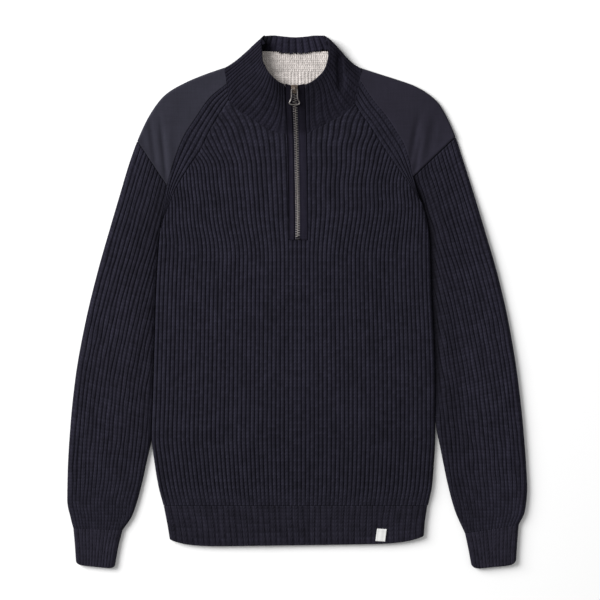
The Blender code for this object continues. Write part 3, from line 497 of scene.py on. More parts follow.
def new_material(name, group, settings, roughness, specular, bump, sheen=0.0, metallic=0.0,
                 shaded=False):
    """A Principled material whose colour and relief come from a node group, placed
    by the piece's knit UVs and its object coordinates. bump is its strength and its
    depth in millimetres."""
    material = bpy.data.materials.new(name)
    material.use_nodes = True
    tree = material.node_tree
    shader = tree.nodes["Principled BSDF"]
    effect = tree.nodes.new("ShaderNodeGroup")
    effect.node_tree = group
    for socket, value in settings.items():
        effect.inputs[socket].default_value = value
    places = tree.nodes.new("ShaderNodeTexCoord")
    tree.links.new(places.outputs["Object"], effect.inputs["Object"])
    if "Knit" in effect.inputs:
        knit = tree.nodes.new("ShaderNodeUVMap")
        knit.uv_map = "knit"
        tree.links.new(knit.outputs["UV"], effect.inputs["Knit"])
    # The shade UVs carry the piece's painted shade.
    if shaded:
        shades = tree.nodes.new("ShaderNodeUVMap")
        shades.uv_map = "shade"
        tree.links.new(axes_of(tree, shades.outputs["UV"])["X"], effect.inputs["Shade"])
    relief = tree.nodes.new("ShaderNodeBump")
    strength, depth = bump
    relief.inputs["Strength"].default_value = strength
    relief.inputs["Distance"].default_value = depth * MM
    tree.links.new(effect.outputs["Height"], relief.inputs["Height"])
    tree.links.new(relief.outputs["Normal"], shader.inputs["Normal"])
    tree.links.new(effect.outputs["Colour"], shader.inputs["Base Color"])
    feed(tree, shader.inputs["Roughness"], effect.outputs.get("Roughness", roughness))
    shader.inputs["Metallic"].default_value = metallic
    shader.inputs["Specular IOR Level"].default_value = specular
    shader.inputs["Sheen Weight"].default_value = sheen
    shader.inputs["Sheen Roughness"].default_value = 0.6
    return material


def new_rib(name, ridge, groove, unevenness=0.55):
    """Matt wool rib with its stitches in relief: its ridge colour, and a darker groove colour that
    is a painted shade.
    """
    settings = {
        "Ridge Colour": (*ridge, 1),
        "Groove Shade Colour": (*groove, 1),
        "Unevenness": unevenness,
    }
    return new_material(name, rib_stitches, settings, roughness=0.95, specular=0.1,
                        bump=(0.7, 0.7), shaded=True)


navy_rib = new_rib("navy_rib", (0.0170, 0.0163, 0.0262), (0.0105, 0.0094, 0.0163))


def panel_half(courses, side, ys, surface, steps, slot=False, dip=False):
    """Half of the front or the back: wales that fan out from the middle and end at
    the side or at the raglan's wales. surface gives a height from wale and course.
    A slot keeps the wales off the zip, and dip cuts the top to the back neck's line.
    A painted shade makes its colour a little darker low down and on the right, away from the
    light."""
    turn = OUTWARD[side]
    rows = [row_at(courses, y) for y in ys]
    most = math.ceil(courses[0].wales)

    def offset_of(course, wale):
        """How far out a wale lies, and how far out the slot's or the neck's edge is."""
        share = (wale - 0.5) / (course.wales - 0.5)
        crowding = WALE_CROWDING * fade(course.y, *CROWDED_FROM) * fade(course.y, *CROWDED_TO)
        share += crowding * share * (1 - share)
        inner = course.inner if slot and course.y >= SLOT_FOOT else 0
        offset = FIRST_WALE + (course.edge - FIRST_WALE) * share
        return clamp(offset, inner, course.edge), inner

    def point(i, j):
        course = rows[j]
        wale = i / steps
        offset, inner = offset_of(course, wale)
        inside = inner < offset < course.edge or offset == inner == 0
        height = surface(side, wale, course, offset, inside)
        sway = FRONT_SWAY * waver(turn * wale * 1.3, course.y / 35, 1.5)
        x = spine_x(course.y) + turn * (offset + sway * inside * (offset > 1))
        y = min(course.y, row_at(BACK_NECKLINE, x).y) if dip else course.y
        return Vector((x, y, height + (0 if dip else lie(x, y))))

    def uv(i, j, after):
        return (i / steps, (rows[j].y - ys[0]) / STITCH)

    # Painted shade, darker to the right and low down.
    def shade(i, j):
        right = fade(turn * i / steps, 0, PAINTED_SHADE_WALES)
        low = fade(rows[j].y, *PAINTED_SHADE_BELOW)
        return (1 - PAINTED_SHADE_RIGHT * right) * (1 - PAINTED_SHADE_LOW * low)

    return skin(most * steps, len(rows) - 1, point, uv, shade)


def raglan_wales(courses, side, ys, surface, steps):
    """The wales that run along a raglan seam."""
    turn = OUTWARD[side]
    rows = [row_at(courses, y) for y in ys]
    spines = []
    for course in rows:
        inner = Vector((spine_x(course.y) + turn * course.edge, course.y))
        spines.append((inner, raglan_spot(side, course.seam)))
    reach = [0.0]
    for low, high in zip(spines, spines[1:]):
        reach.append(reach[-1] + (high[1] - low[1]).length)

    def point(i, j):
        inner, outer = spines[j]
        share = i / (steps * BAND_WALES)
        spot = inner.lerp(outer, share)
        return Vector((*spot, surface(side, i / steps, reach[j] / STITCH, share, spot)))

    def uv(i, j, after):
        return (clamp(i / steps, *BAND_KNIT), reach[j] / STITCH)

    return skin(BAND_WALES * steps, len(rows) - 1, point, uv)


def edge_fall(distance, radius, depth):
    """How far a rounded edge has fallen, this far in from it."""
    if distance >= radius:
        return 0.0
    return depth * (1 - math.sqrt(1 - (1 - distance / radius) ** 2))


def front_surface(side, wale, course, offset, inside):
    """The front's height: ridges that begin low at the hem, less the side's rounding."""
    ridge = RIB_RISE * ridge_of(wale) * stitch_swell(wale, course.y / STITCH)
    if not inside:
        ridge = 0.0 if offset >= course.edge else SLOT_EDGE * RIB_RISE
    above_hem = course.y - HEM_SEAM
    height = FRONT_GROOVE + ridge * blend(HEM_RIDGE, 1.0, fade(above_hem, 0, HEM_RIDGE_LENGTH))
    if course.seam >= ARMPIT_STATION:
        height -= edge_fall(course.edge - offset, *SIDE_ROUND[side])
    return height - HEM_DIP * (1 - fade(above_hem, 0, HEM_DIP_LENGTH))


def band_surface(side, wale, stitches, share, spot):
    """The same beside the raglan seam, up to which the last wale stays high. Near the
    armpit it rounds down as the side does."""
    swell = stitch_swell(wale + BAND_WALE, stitches)
    ridge = BAND_RISE * ridge_of(min(wale, BAND_KNIT[1])) * swell
    armpit = fade(spot.y - ARMPIT_Y[side], *BAND_ROUNDS)
    width, depth = (blend(*ends, armpit) for ends in zip(BAND_ROUND, SIDE_ROUND[side]))
    fall = edge_fall((1 - share) * BAND_WIDTH, width, depth)
    return FRONT_GROOVE + lie(*spot) + ridge - fall


front_halves = []
for side in SIDES:
    courses = FRONT_COURSES[side]
    head = courses[-1].y
    ys = even_steps(HEM_SEAM, SLOT_FOOT - SLOT_STEP, STITCH / 2)
    ys += even_steps(SLOT_FOOT, head, STITCH / 2)
    half = panel_half(courses, side, ys, front_surface, WALE_STEPS, slot=True)
    front_halves.append(half)
    ys = even_steps(ARMPIT_Y[side], head, BAND_ROWS)
    front_halves.append(raglan_wales(courses, side, ys, band_surface, WALE_STEPS))
front_bm = joined(front_halves)
close_flat(front_bm, WALL + SEAM_GAP)
front_panel = add_piece("front_knit", front_bm, navy_rib)
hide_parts("front_panel")

# ---------------------------------------------------------------------------------
# Back panel: the same rib, raglan shaped and plain of any opening. It lies under the
# front with its ribs down, so that the sweater rests on their ridges.

BACK_PITCH = 5.9
BACK_STEPS = 4  # columns of faces across a wale
BACK_RISE = 1.2
BACK_GROOVE = BACK_RISE + 0.05  # height of the grooves over the floor
EDGE_ROUND = 3.2  # how wide a folded edge of the cloth rounds
BACK_ROUND = (EDGE_ROUND, 2.4)
BACK_TOP = 325.2
BACK_TOP_HALF = {"left": 78.0, "right": 70.0}
NeckDip = namedtuple("NeckDip", "x y")
BACK_NECKLINE = (
    NeckDip(-79.0, 325.2),
    NeckDip(-51.5, 317.9),
    NeckDip(-25.4, 314.3),
    NeckDip(-0.7, 313.6),
    NeckDip(23.9, 314.3),
    NeckDip(47.1, 317.9),
    NeckDip(70.3, 325.2),
)


def back_courses(side):
    """The front's rows without its slot and neck, carried on up to the back neck."""
    rows = []
    for course in FRONT_COURSES[side]:
        wales = min(FRONT_COURSES[side][0].wales, course.edge / BACK_PITCH)
        rows.append(course._replace(wales=wales))
    half = BACK_TOP_HALF[side]
    rows.append(Course(BACK_TOP, half, half / BACK_PITCH, 0.0, 0.0))
    return tuple(rows)


def back_surface(side, wale, course, offset, inside):
    rise = 0.0
    if course.seam >= ARMPIT_STATION:
        rise = edge_fall(course.edge - offset, *BACK_ROUND)
    return max(BACK_GROOVE - BACK_RISE * ridge_of(wale) * inside, rise)


def back_band_surface(side, wale, stitches, share, spot):
    return BACK_GROOVE - BACK_RISE * ridge_of(wale)


back_halves = []
for side in SIDES:
    courses = back_courses(side)
    ys = even_steps(HEM_SEAM, BACK_TOP, STITCH)
    back_halves.append(panel_half(courses, side, ys, back_surface, BACK_STEPS, dip=True))
    ys = even_steps(ARMPIT_Y[side], BACK_TOP, STITCH)
    back_halves.append(raglan_wales(courses, side, ys, back_band_surface, BACK_STEPS))
back_bm = joined(back_halves)
close_flat(back_bm, WALL)
back_panel = add_piece("back_knit", back_bm, navy_rib)
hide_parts("back_panel")

# ---------------------------------------------------------------------------------
# Sleeves: raglan sleeves in the same rib, each a tube that lies flat beside the body.
# Its wales run parallel to the outer fold, and the inner ones end at the raglan seam
# and where the arm narrows to the cuff.

PATCH_STACK = 1.5  # the shoulder patch's cloth and the gap under it
PATCH_END = 5  # the station where the patch ends
SHOULDER_FALL = 2.6  # from the raglan seam down to the outer fold
SHOULDER_ENDS = (9, 6)  # the stations between which that is gone and full
STATION_STEP = 0.02  # for measuring along a tube
FOLD_ANGLES = (-90, -60, -30, 0, 30, 60)
END_ANGLES = (25, 55, 90, 125, 155)
INNER_ROWS = 6
SUNK_WIDTH = 20.0  # how far from the body's side the sunk edge begins
LINKED = (0.05, 0.2)  # a linked end: how far it keeps off the seam, and its rounding
FREE = (1.0, 1.3)  # the same at a free end, or one under the patch
UNDER_STEPS = 3
UNDER_RISE = 1.0
TUBE_SWAY = 0.25
LAST_WALE = 0.4  # how much of it is left where a wale begins to run out
SLEEVE_RISE = 1.25
CUFF_RISE_SHARE = 0.35  # of the sleeve's ribs where the cuff draws them in
CUFF_DRAWS_FROM = 110  # how far above the cuff that begins
RAGLAN_GAP = 0.35
BESIDE_GAP = 0.15  # the least gap between sleeve and body
SNUGGER = 1.05  # how much closer to the body a sleeve lies where it almost meets it
ALMOST = (1.2, 6.2)  # from these gaps down
SQUARE_FROM = (13, 15)  # stations between which wales come to be counted straight across

TubeRow = namedtuple("TubeRow", "section length width wales rise inset bow")
TubeColumn = namedtuple("TubeColumn", "part at")

# Painted shade: how light the wool's colour is made beside the body at the armpit and
# below it, and far from the body higher up and near the cuff.
SleevePaintedShade = namedtuple("SleevePaintedShade", "armpit beside away cuff")
SLEEVE_PAINTED_SHADE = {
    "left": SleevePaintedShade(0.68, 0.84, 1.0, 0.92),
    "right": SleevePaintedShade(0.80, 0.80, 1.08, 1.08),
}
ARMPIT_TO_BESIDE = (7, 9.5)  # stations
AWAY_TO_CUFF = (12, 15)
TONE_WIDTH = 70  # from the tone beside the body to that away from it
# Painted shadow down in the crevice beside the body's edge.
CREVICE_PAINTED_SHADOW = 0.5  # how much darker it is down beside the body
CREVICE_WIDTH = (2, 8)
CREVICE_DEPTH = 3.8  # how far sunk the edge is where it is darkest


def edge_spot(section, share, bow=0.0):
    """A point this share of the way from a section's outer to its inner end."""
    x = blend(section.outer_x, section.inner_x, share)
    y = blend(section.outer_y, section.inner_y, share)
    return Vector((x, y + bow * (1 - abs(2 * share - 1) ** 8)))


def spaced_sections(sections, step, head, foot):
    """Sections at even steps along the tube's middle, each with its length so far.
    head and foot are how much the tube keeps off its first and last section."""
    stations = even_steps(sections[0][0], sections[-1][0], STATION_STEP)
    fine = [row_at(sections, station) for station in stations]
    lengths = [0.0]
    for low, high in zip(fine, fine[1:]):
        lengths.append(lengths[-1] + (edge_spot(high, 0.5) - edge_spot(low, 0.5)).length)
    spaced = []
    k = 0
    for length in even_steps(head, lengths[-1] - foot, step):
        while lengths[k + 1] < length:
            k += 1
        share = (length - lengths[k]) / (lengths[k + 1] - lengths[k])
        station = blend(fine[k].station, fine[k + 1].station, share)
        spaced.append((row_at(sections, station), length))
    return spaced


def run_of(section):
    return (edge_spot(section, 1) - edge_spot(section, 0)).length


def shoulder_fall(section, share):
    """How far the shoulder has sloped down, this share of the way to the raglan."""
    if not isinstance(section, Section):
        return 0.0
    return SHOULDER_FALL * (1 - share) * fade(section.station, *SHOULDER_ENDS)


def tube_columns(most, top_steps, under_steps):
    """Columns once round a flattened tube, from under its outer fold."""
    columns = [TubeColumn("outer", angle) for angle in FOLD_ANGLES]
    columns += [TubeColumn("top", k / top_steps) for k in range(most * top_steps)]
    columns += [TubeColumn("inner", -angle) for angle in FOLD_ANGLES]
    columns += [TubeColumn("under", most - k / under_steps) for k in range(most * under_steps)]
    return columns


def even_shade(row, share):
    return 1.0


def even_indices(count, steps):
    """Indices from the last of a list down to its first, in even steps."""
    return [round((count - 1) * k / steps) for k in range(steps, -1, -1)]


def tube_skin(rows, top_steps, under_steps, lies, head_round, foot_round, shade_at=even_shade):
    """A flattened tube of knit: its ribbed outer skin, and inside it the two faces
    that lie on each other, joined round both ends. lies is how much it lies uneven."""
    most = math.ceil(max(row.wales for row in rows))
    columns = tube_columns(most, top_steps, under_steps)
    part_ends = {"outer": 90, "top": most, "inner": -90, "under": 0}

    def laid(row, share, height):
        spot = edge_spot(row.section, share, row.bow)
        return Vector((*spot, height + lies * lie(*spot) * height / FOLDED))

    def outer_point(column, row):
        section = row.section
        start = (row.inset + EDGE_ROUND) / row.width
        end = 1 - section.roll / row.width
        if column.part in ("outer", "inner"):
            angle = math.radians(column.at)
            if column.part == "outer":
                share = (row.inset + EDGE_ROUND * (1 - math.cos(angle))) / row.width
            else:
                share = 1 - section.roll * (1 - math.cos(angle)) / row.width
            depth = FOLDED - section.sunk * (column.part == "inner")
            depth -= shoulder_fall(section, share)
            return laid(row, share, depth / 2 * (1 + math.sin(angle)))
        sway = TUBE_SWAY * waver(column.at * 1.7, row.length / 30, 7.5)
        share = clamp(start + (end - start) * (column.at + sway) / row.wales, start, end)
        ridge = ridge_of(column.at) * clamp((row.wales - column.at) / LAST_WALE, 0, 1)
        if column.part == "under":
            return laid(row, share, UNDER_RISE * (1 - ridge) * (row.rise > 0))
        beside = ease(1 - (1 - share) * row.width / SUNK_WIDTH)
        swell = stitch_swell(column.at, row.length / STITCH)
        height = FOLDED - section.sunk * beside + row.rise * ridge * swell
        return laid(row, share, height - (shoulder_fall(section, share) + row.inset))

    def inner_point(column, row):
        low = (row.inset + WALL) / row.width
        high = 1 - max(SUNK_WIDTH * (row.section.sunk > 0), WALL) / row.width
        if column.part in ("top", "under"):
            share = clamp(low + (high - low) * column.at / row.wales, low, high)
            height = WALL + SEAM_GAP * (column.part == "top")
            height -= (shoulder_fall(row.section, share) + row.inset) / 2
        else:
            share = low if column.part == "outer" else high
            height = WALL + SEAM_GAP / 2 * (1 + math.sin(math.radians(column.at)))
        return laid(row, share, height)

    def end_point(column, row, inside, rounding, angle):
        """On the rounding of the cloth's edge, from its outer to its inner skin."""
        outer, inner = outer_point(column, row), inner_point(column, row)
        away = edge_spot(row.section, 0.5) - edge_spot(inside.section, 0.5)
        away = away.normalized() * rounding * math.sin(angle)
        middle = (outer + inner) / 2 + Vector((*away, 0))
        return middle + (outer - inner) / 2 * math.cos(angle)

    stations = [("outer", row) for row in rows]
    stations += [("foot", angle) for angle in END_ANGLES]
    stations += [("inner", rows[k]) for k in even_indices(len(rows), INNER_ROWS)]
    stations += [("head", angle) for angle in reversed(END_ANGLES)]
    stations.append(("outer", rows[0]))

    def row_of(j):
        kind, place = stations[j]
        return {"foot": rows[-1], "head": rows[0]}.get(kind, place)

    def point(i, j):
        column = columns[i % len(columns)]
        kind, at = stations[j]
        if kind == "outer":
            return outer_point(column, at)
        if kind == "inner":
            return inner_point(column, at)
        if kind == "foot":
            return end_point(column, rows[-1], rows[-2], foot_round, math.radians(at))
        return end_point(column, rows[0], rows[1], head_round, math.radians(at))

    def uv(i, j, after):
        part, at = columns[i % len(columns)]
        if not after and (i == len(columns) or columns[i - 1].part != part):
            part = columns[i - 1].part
            at = part_ends[part]
        row = row_of(j)
        fold = (90 - at) / 180
        u = {
            "outer": -fold,
            "top": min(at, row.wales),
            "inner": row.wales + fold,
            "under": -min(at, row.wales),
        }[part]
        return (u, row.length / STITCH)

    def shade(i, j):
        part, at = columns[i % len(columns)]
        row = row_of(j)
        share = {"outer": 0.0, "inner": 1.0}.get(part, clamp(at / row.wales, 0, 1))
        return shade_at(row, share)

    return skin(len(columns), len(stations) - 1, point, uv, shade)


def sleeve_rows(side):
    """Rows of stitches down a sleeve, with its inner edge laid along the body's side."""
    spaced = spaced_sections(SLEEVE_SECTIONS[side], STITCH / 2, FREE[0], LINKED[0])
    outers = [edge_spot(section, 0) for section, length in spaced]
    turn = OUTWARD[side]
    rows = []
    for k, (section, length) in enumerate(spaced):
        station = section.station
        y = section.inner_y
        body_x = spine_x(y) + turn * row_at(FRONT_COURSES[side], y).edge
        if station >= ARMPIT_STATION:
            apart = turn * (section.inner_x - body_x)
            apart -= SNUGGER * (1 - fade(apart, *ALMOST))
            section = section._replace(inner_x=body_x + turn * max(apart, BESIDE_GAP))
        else:
            section = section._replace(inner_x=section.inner_x + turn * RAGLAN_GAP)
        outer_edge = outers[min(k + 1, len(outers) - 1)] - outers[max(k - 1, 0)]
        span = edge_spot(section, 1) - edge_spot(section, 0)
        across = abs(outer_edge.normalized().cross(span))
        across = blend(across, span.length, fade(station, *SQUARE_FROM))
        wales = (across - EDGE_ROUND - section.roll) / section.pitch
        bare = fade(station, PATCH_END - 0.02, PATCH_END + 0.03)
        to_cuff = spaced[-1][1] - length
        drawn_in = blend(1.0, CUFF_RISE_SHARE, fade(to_cuff, CUFF_DRAWS_FROM, 0))
        rise = SLEEVE_RISE * bare * drawn_in
        inset = PATCH_STACK * (1 - bare)
        rows.append(TubeRow(section, length, run_of(section), wales, rise, inset, 0.0))
    return rows


def sleeve_shade(side, row, share):
    """Painted shade: darker towards the body, above all under the arm, and a painted
    shadow, darkest down in the crevice beside the body's edge."""
    tones = SLEEVE_PAINTED_SHADE[side]
    station, sunk = row.section.station, row.section.sunk
    inward = (1 - share) * row.width
    beside = blend(tones.armpit, tones.beside, fade(station, *ARMPIT_TO_BESIDE))
    away = blend(tones.away, tones.cuff, fade(station, *AWAY_TO_CUFF))
    crevice = CREVICE_PAINTED_SHADOW * fade(sunk, 0, CREVICE_DEPTH) * (1 - fade(inward, *CREVICE_WIDTH))
    return (1 - crevice) * blend(beside, away, fade(inward, 0, TONE_WIDTH))


navy_sleeve_rib = new_rib("navy_sleeve_rib", (0.0167, 0.0158, 0.0256), (0.0101, 0.0091, 0.0157))
for side in SIDES:
    rows = sleeve_rows(side)
    sleeve_bm = tube_skin(rows, WALE_STEPS, UNDER_STEPS, lies=1.0, head_round=FREE[1],
                          foot_round=LINKED[1],
                          shade_at=lambda row, share: sleeve_shade(side, row, share))
    sleeve = add_piece("sleeve_knit_" + side, sleeve_bm, navy_sleeve_rib)
    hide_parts("sleeve_" + side)

# ---------------------------------------------------------------------------------
# Shoulder patches: plain-woven cotton canvas in a greyer navy, cut to the raglan and
# sewn on over each shoulder with its edges turned under. Body heat and washing have
# left it softer than new, with a few creases that run down towards the armpit.

PATCH_CLOTH = 1.2
PATCH_TOP = FOLDED + PATCH_STACK
PATCH_ROWS = 2.4
PATCH_LAST_ROW = 2.0
PATCH_HEAD = 0.15  # how far it keeps off the collar
PATCH_STEPS = 64
PATCH_WRAP_STEPS = 10
PATCH_WRAP = (-80, 90)  # degrees round the outer fold
PATCH_LIE = 0.5  # how much of the knit's unevenness shows through it
PATCH_LEAST_HEIGHT = 0.1
PATCH_GAP = 0.05  # more than the sleeve's, from the raglan's wales
PATCH_SEAM_ROUND = (1.4, 0.5)  # how wide and deep the cloth rounds down at the seams
PATCH_FOOT_ROUND = (1.4, 0.6)
TURNING_BULK = 0.4  # of the edge turned under, along the foot
TURNING_AT = 3.0
TURNING_WIDTH = 2.2

Crease = namedtuple("Crease", "x1 y1 x2 y2 width depth")
PATCH_CREASES = {
    "left": (
        Crease(-198.5, 268.0, -189.5, 182.0, 3.6, 1.8),
        Crease(-215.0, 272.0, -205.0, 204.0, 4.2, 1.6),
        Crease(-186.5, 262.0, -183.0, 196.0, 6.0, -1.1),
        Crease(-226.0, 246.0, -216.0, 208.0, 5.0, 0.6),
        Crease(-176.0, 300.0, -192.0, 262.0, 12.0, -0.8),
    ),
    "right": (
        Crease(177.0, 274.0, 164.0, 202.0, 5.0, 1.9),
        Crease(180.5, 243.0, 169.5, 184.0, 4.2, 1.7),
        Crease(188.0, 270.0, 178.0, 206.0, 6.5, -1.0),
        Crease(203.0, 276.0, 190.0, 216.0, 7.0, 1.2),
        Crease(216.0, 278.0, 208.0, 228.0, 8.0, 0.7),
    ),
}


def crease_drop(creases, spot):
    """How far the creases lower the cloth here: soft troughs that fade at each end."""
    drop = 0.0
    for crease in creases:
        start = Vector((crease.x1, crease.y1))
        run = Vector((crease.x2, crease.y2)) - start
        at = (spot - start).dot(run) / run.length_squared
        aside = abs((spot - start).cross(run)) / run.length
        ends = fade(at, -0.2, 0.5) * fade(at, 1.25, 0.85)
        drop += crease.depth * ends * math.exp(-((aside / crease.width) ** 2))
    return drop


def make_canvas_weave():
    """Plain weave: warp over weft in turn, each thread thicker here and thinner
    there, with its colour worn lighter on top and a painted shade in the hollows between threads."""
    inputs = [
        ("Object", "Vector"),
        ("Thread", "Float"),
        ("Face Colour", "Color"),
        ("Deep Colour", "Color"),
        ("Slub", "Float"),
        ("Shade", "Float"),
    ]
    outputs = [("Colour", "Color"), ("Height", "Float")]
    group, given, result = new_group("canvas_weave", inputs, outputs)
    per_metre = math_node(group, "DIVIDE", 1.0, given["Thread"])
    threads = axes_of(group, vector_node(group, "SCALE", given["Object"], per_metre))
    waves = []
    slubs = []
    for axis, stretch in (("X", (0.04, 1.0, 1.0)), ("Y", (1.0, 0.05, 1.0))):
        turns = math_node(group, "MULTIPLY", threads[axis], math.pi)
        waves.append(math_node(group, "SINE", turns))
        drawn = vector_node(group, "MULTIPLY", given["Object"], stretch)
        slubs.append(noise_node(group, drawn, 620.0, 2.0, 0.6))
    over = math_node(group, "ABSOLUTE", math_node(group, "MULTIPLY", *waves))
    slub = math_node(group, "MULTIPLY", math_node(group, "ADD", *slubs), 0.5)
    face = math_node(group, "MULTIPLY_ADD", over, 0.35, 0.45)
    face = math_node(group, "MULTIPLY_ADD", math_node(group, "SUBTRACT", slub, 0.5), 0.7, face)
    face = ramp_node(group, face, 0.0, 1.0, 0.0, 1.0)
    colour = mix_node(group, face, given["Deep Colour"], given["Face Colour"])
    worn = noise_node(group, given["Object"], 24.0, 4.0, 0.65)
    wear = math_node(group, "SUBTRACT", math_node(group, "ADD", worn, slub), 1.0)
    wear = math_node(group, "MULTIPLY_ADD", wear, given["Slub"], 1.0)
    # The piece's painted shade, from its shade UVs, darkens the colour.
    wear = math_node(group, "MULTIPLY", wear, given["Shade"])
    feed(group, result["Colour"], vector_node(group, "SCALE", colour, wear))
    feed(group, result["Height"], math_node(group, "MULTIPLY_ADD", slub, 0.8, over))
    return group


canvas_weave = make_canvas_weave()


def new_weave(name, thread, face, deep, slub, roughness, specular, bump, sheen=0.0,
              shaded=False):
    """Woven cloth of these two colours, its threads this many metres apart."""
    settings = {
        "Thread": thread,
        "Face Colour": (*face, 1),
        "Deep Colour": (*deep, 1),
        "Slub": slub,
        "Shade": 1.0,
    }
    return new_material(name, canvas_weave, settings, roughness, specular, bump, sheen,
                        shaded=shaded)


# Painted shade: the right patch gets a darker copy of the same canvas colours.
PATCH_LIT_AND_SHADED_COLOURS = {  # the right one is painted darker, a painted shade for the side away from the light
    "left": ((0.0262, 0.0255, 0.0386), (0.0121, 0.0116, 0.0187)),
    "right": ((0.0196, 0.0176, 0.0303), (0.0099, 0.0087, 0.0156)),
}


def two_faced(columns, rows, top, under, *maps):
    """A closed bmesh between a top and an under skin, which share their maps."""
    bm = joined([skin(columns, rows, face, *maps) for face in (top, under)])
    bmesh.ops.bridge_loops(bm, edges=[edge for edge in bm.edges if edge.is_boundary])
    return bm


def patch_wrap(at):
    """Where the patch's section lies over the fold, at 0 below it to 1 on top:
    distance in from the outline, and height."""
    angle = math.radians(blend(*PATCH_WRAP, at))
    return (PATCH_TOP / 2 * (1 - math.cos(angle)), PATCH_TOP / 2 * (1 + math.sin(angle)))


def make_patch(side):
    """The patch over the sleeve's upper sections, with a turned-under lower edge."""
    sections = SLEEVE_SECTIONS[side][: PATCH_END + 2]
    spaced = spaced_sections(sections, PATCH_ROWS, PATCH_HEAD, 0)
    spaced = [pair for pair in spaced if pair[0].station < PATCH_END]
    spaced.append((row_at(sections, PATCH_END), spaced[-1][1] + PATCH_LAST_ROW))
    columns = PATCH_WRAP_STEPS + PATCH_STEPS

    def place(i, j, depth):
        section, length = spaced[j]
        section = section._replace(inner_x=section.inner_x + OUTWARD[side] * PATCH_GAP)
        width = run_of(section)
        inward, height = patch_wrap(min(i / PATCH_WRAP_STEPS, 1))
        share = inward / width
        if i > PATCH_WRAP_STEPS:
            share = blend(share, 1.0, (i - PATCH_WRAP_STEPS) / PATCH_STEPS)
        spot = edge_spot(section, share)
        from_seam = (1 - share) * width
        from_foot = spaced[-1][1] - length
        on_top = height / PATCH_TOP
        height += on_top * (PATCH_LIE * lie(*spot) - crease_drop(PATCH_CREASES[side], spot))
        height -= on_top * shoulder_fall(section, share)
        from_turning = (from_foot - TURNING_AT) / TURNING_WIDTH
        height += TURNING_BULK * on_top * math.exp(-(from_turning**2))
        height -= edge_fall(from_seam, *PATCH_SEAM_ROUND) + edge_fall(from_foot, *PATCH_FOOT_ROUND)
        inside = Vector((*edge_spot(section, 0.5), FOLDED / 2)) - Vector((*spot, height))
        inside = Vector((0, 0, -1)) if i > PATCH_WRAP_STEPS else inside.normalized()
        return Vector((*spot, max(height, PATCH_LEAST_HEIGHT))) + inside * depth

    bm = two_faced(columns, len(spaced) - 1, lambda i, j: place(i, j, 0),
                   lambda i, j: place(i, j, PATCH_CLOTH),
                   lambda i, j, after: (i / columns, j / len(spaced)))
    return bm, spaced


for side in SIDES:
    patch_bm, spaced = make_patch(side)
    patch_face, deep = PATCH_LIT_AND_SHADED_COLOURS[side]
    canvas = new_weave("navy_canvas_" + side, 0.0006, patch_face, deep, slub=0.3, roughness=0.85,
                       specular=0.12, bump=(0.5, 0.3), sheen=0.04)
    patch = add_piece("shoulder_canvas_" + side, patch_bm, canvas)
    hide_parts("shoulder_patch_" + side)
    cut = sum(run_of(section) for section, length in spaced) * spaced[-1][1] / len(spaced)

# ---------------------------------------------------------------------------------
# Cuffs: closer rib, knitted on to each sleeve's end, which they draw in.

CUFF_RIBS = 12
CUFF_RISE = 0.5
CUFF_SHADE = {"left": 0.95, "right": 1.0}
Band = namedtuple("Band", "station outer_x outer_y inner_x inner_y roll bow sunk", defaults=(0,))
CUFF_SECTIONS = {
    "left": (
        Band(0, -324.0, -327.5, -252.9, -330.8, 3.2, 0),
        Band(1, -321.8, -352.7, -258.8, -354.2, 3.2, -1.0),
        Band(2, -320.2, -376.0, -263.8, -381.8, 3.2, -4.4),
    ),
    "right": (
        Band(0, 320.5, -322.7, 242.7, -335.1, 3.2, 0),
        Band(1, 318.0, -352.7, 247.7, -358.5, 3.2, -2.0),
        Band(2, 316.8, -373.6, 251.6, -380.0, 3.2, -7.0),
    ),
}


def band_rows(sections, ribs, rise, step):
    """Rows of a cuff or of the hem band, linked above and free below."""
    rows = []
    for section, length in spaced_sections(sections, step, LINKED[0], FREE[0]):
        rows.append(TubeRow(section, length, run_of(section), ribs, rise, 0.0, section.bow))
    return rows


navy_cuff_rib = new_rib("navy_cuff_rib", (0.0166, 0.0153, 0.0247), (0.0146, 0.0132, 0.0214))
for side in SIDES:
    rows = band_rows(CUFF_SECTIONS[side], CUFF_RIBS, CUFF_RISE, step=1.6)
    cuff_bm = tube_skin(rows, top_steps=8, under_steps=6, lies=0.4, head_round=LINKED[1],
                        foot_round=FREE[1], shade_at=lambda row, share: CUFF_SHADE[side])
    cuff = add_piece("cuff_rib_" + side, cuff_bm, navy_cuff_rib)
    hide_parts("cuff_" + side)

# ---------------------------------------------------------------------------------
# Hem band: a tube of broader rib, linked to the lower edges of front and back.

HEM_RIBS = 45
HEM_RISE = 0.6
HEM_SECTIONS = (
    Band(0, -193.2, -295.0, 188.2, -295.0, 3.2, 0),
    Band(1, -188.0, -322.0, 184.5, -320.0, 3.2, -2.0),
    Band(2, -184.4, -343.6, 183.0, -338.4, 3.2, -11.4),
)
navy_hem_rib = new_rib("navy_hem_rib", (0.0136, 0.0127, 0.0204), (0.0098, 0.0088, 0.0148))
rows = band_rows(HEM_SECTIONS, HEM_RIBS, HEM_RISE, step=1.7)
hem_bm = tube_skin(rows, top_steps=8, under_steps=4, lies=0.6, head_round=LINKED[1],
                   foot_round=FREE[1])
hem_band = add_piece("hem_rib", hem_bm, navy_hem_rib)
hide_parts("hem_band")

# ---------------------------------------------------------------------------------
# Collar: a mock neck in rib, linked round the neck and closed by the zip. Its ribs
# stand up and roll over at the top edge, which at the back is turned in and linked down.

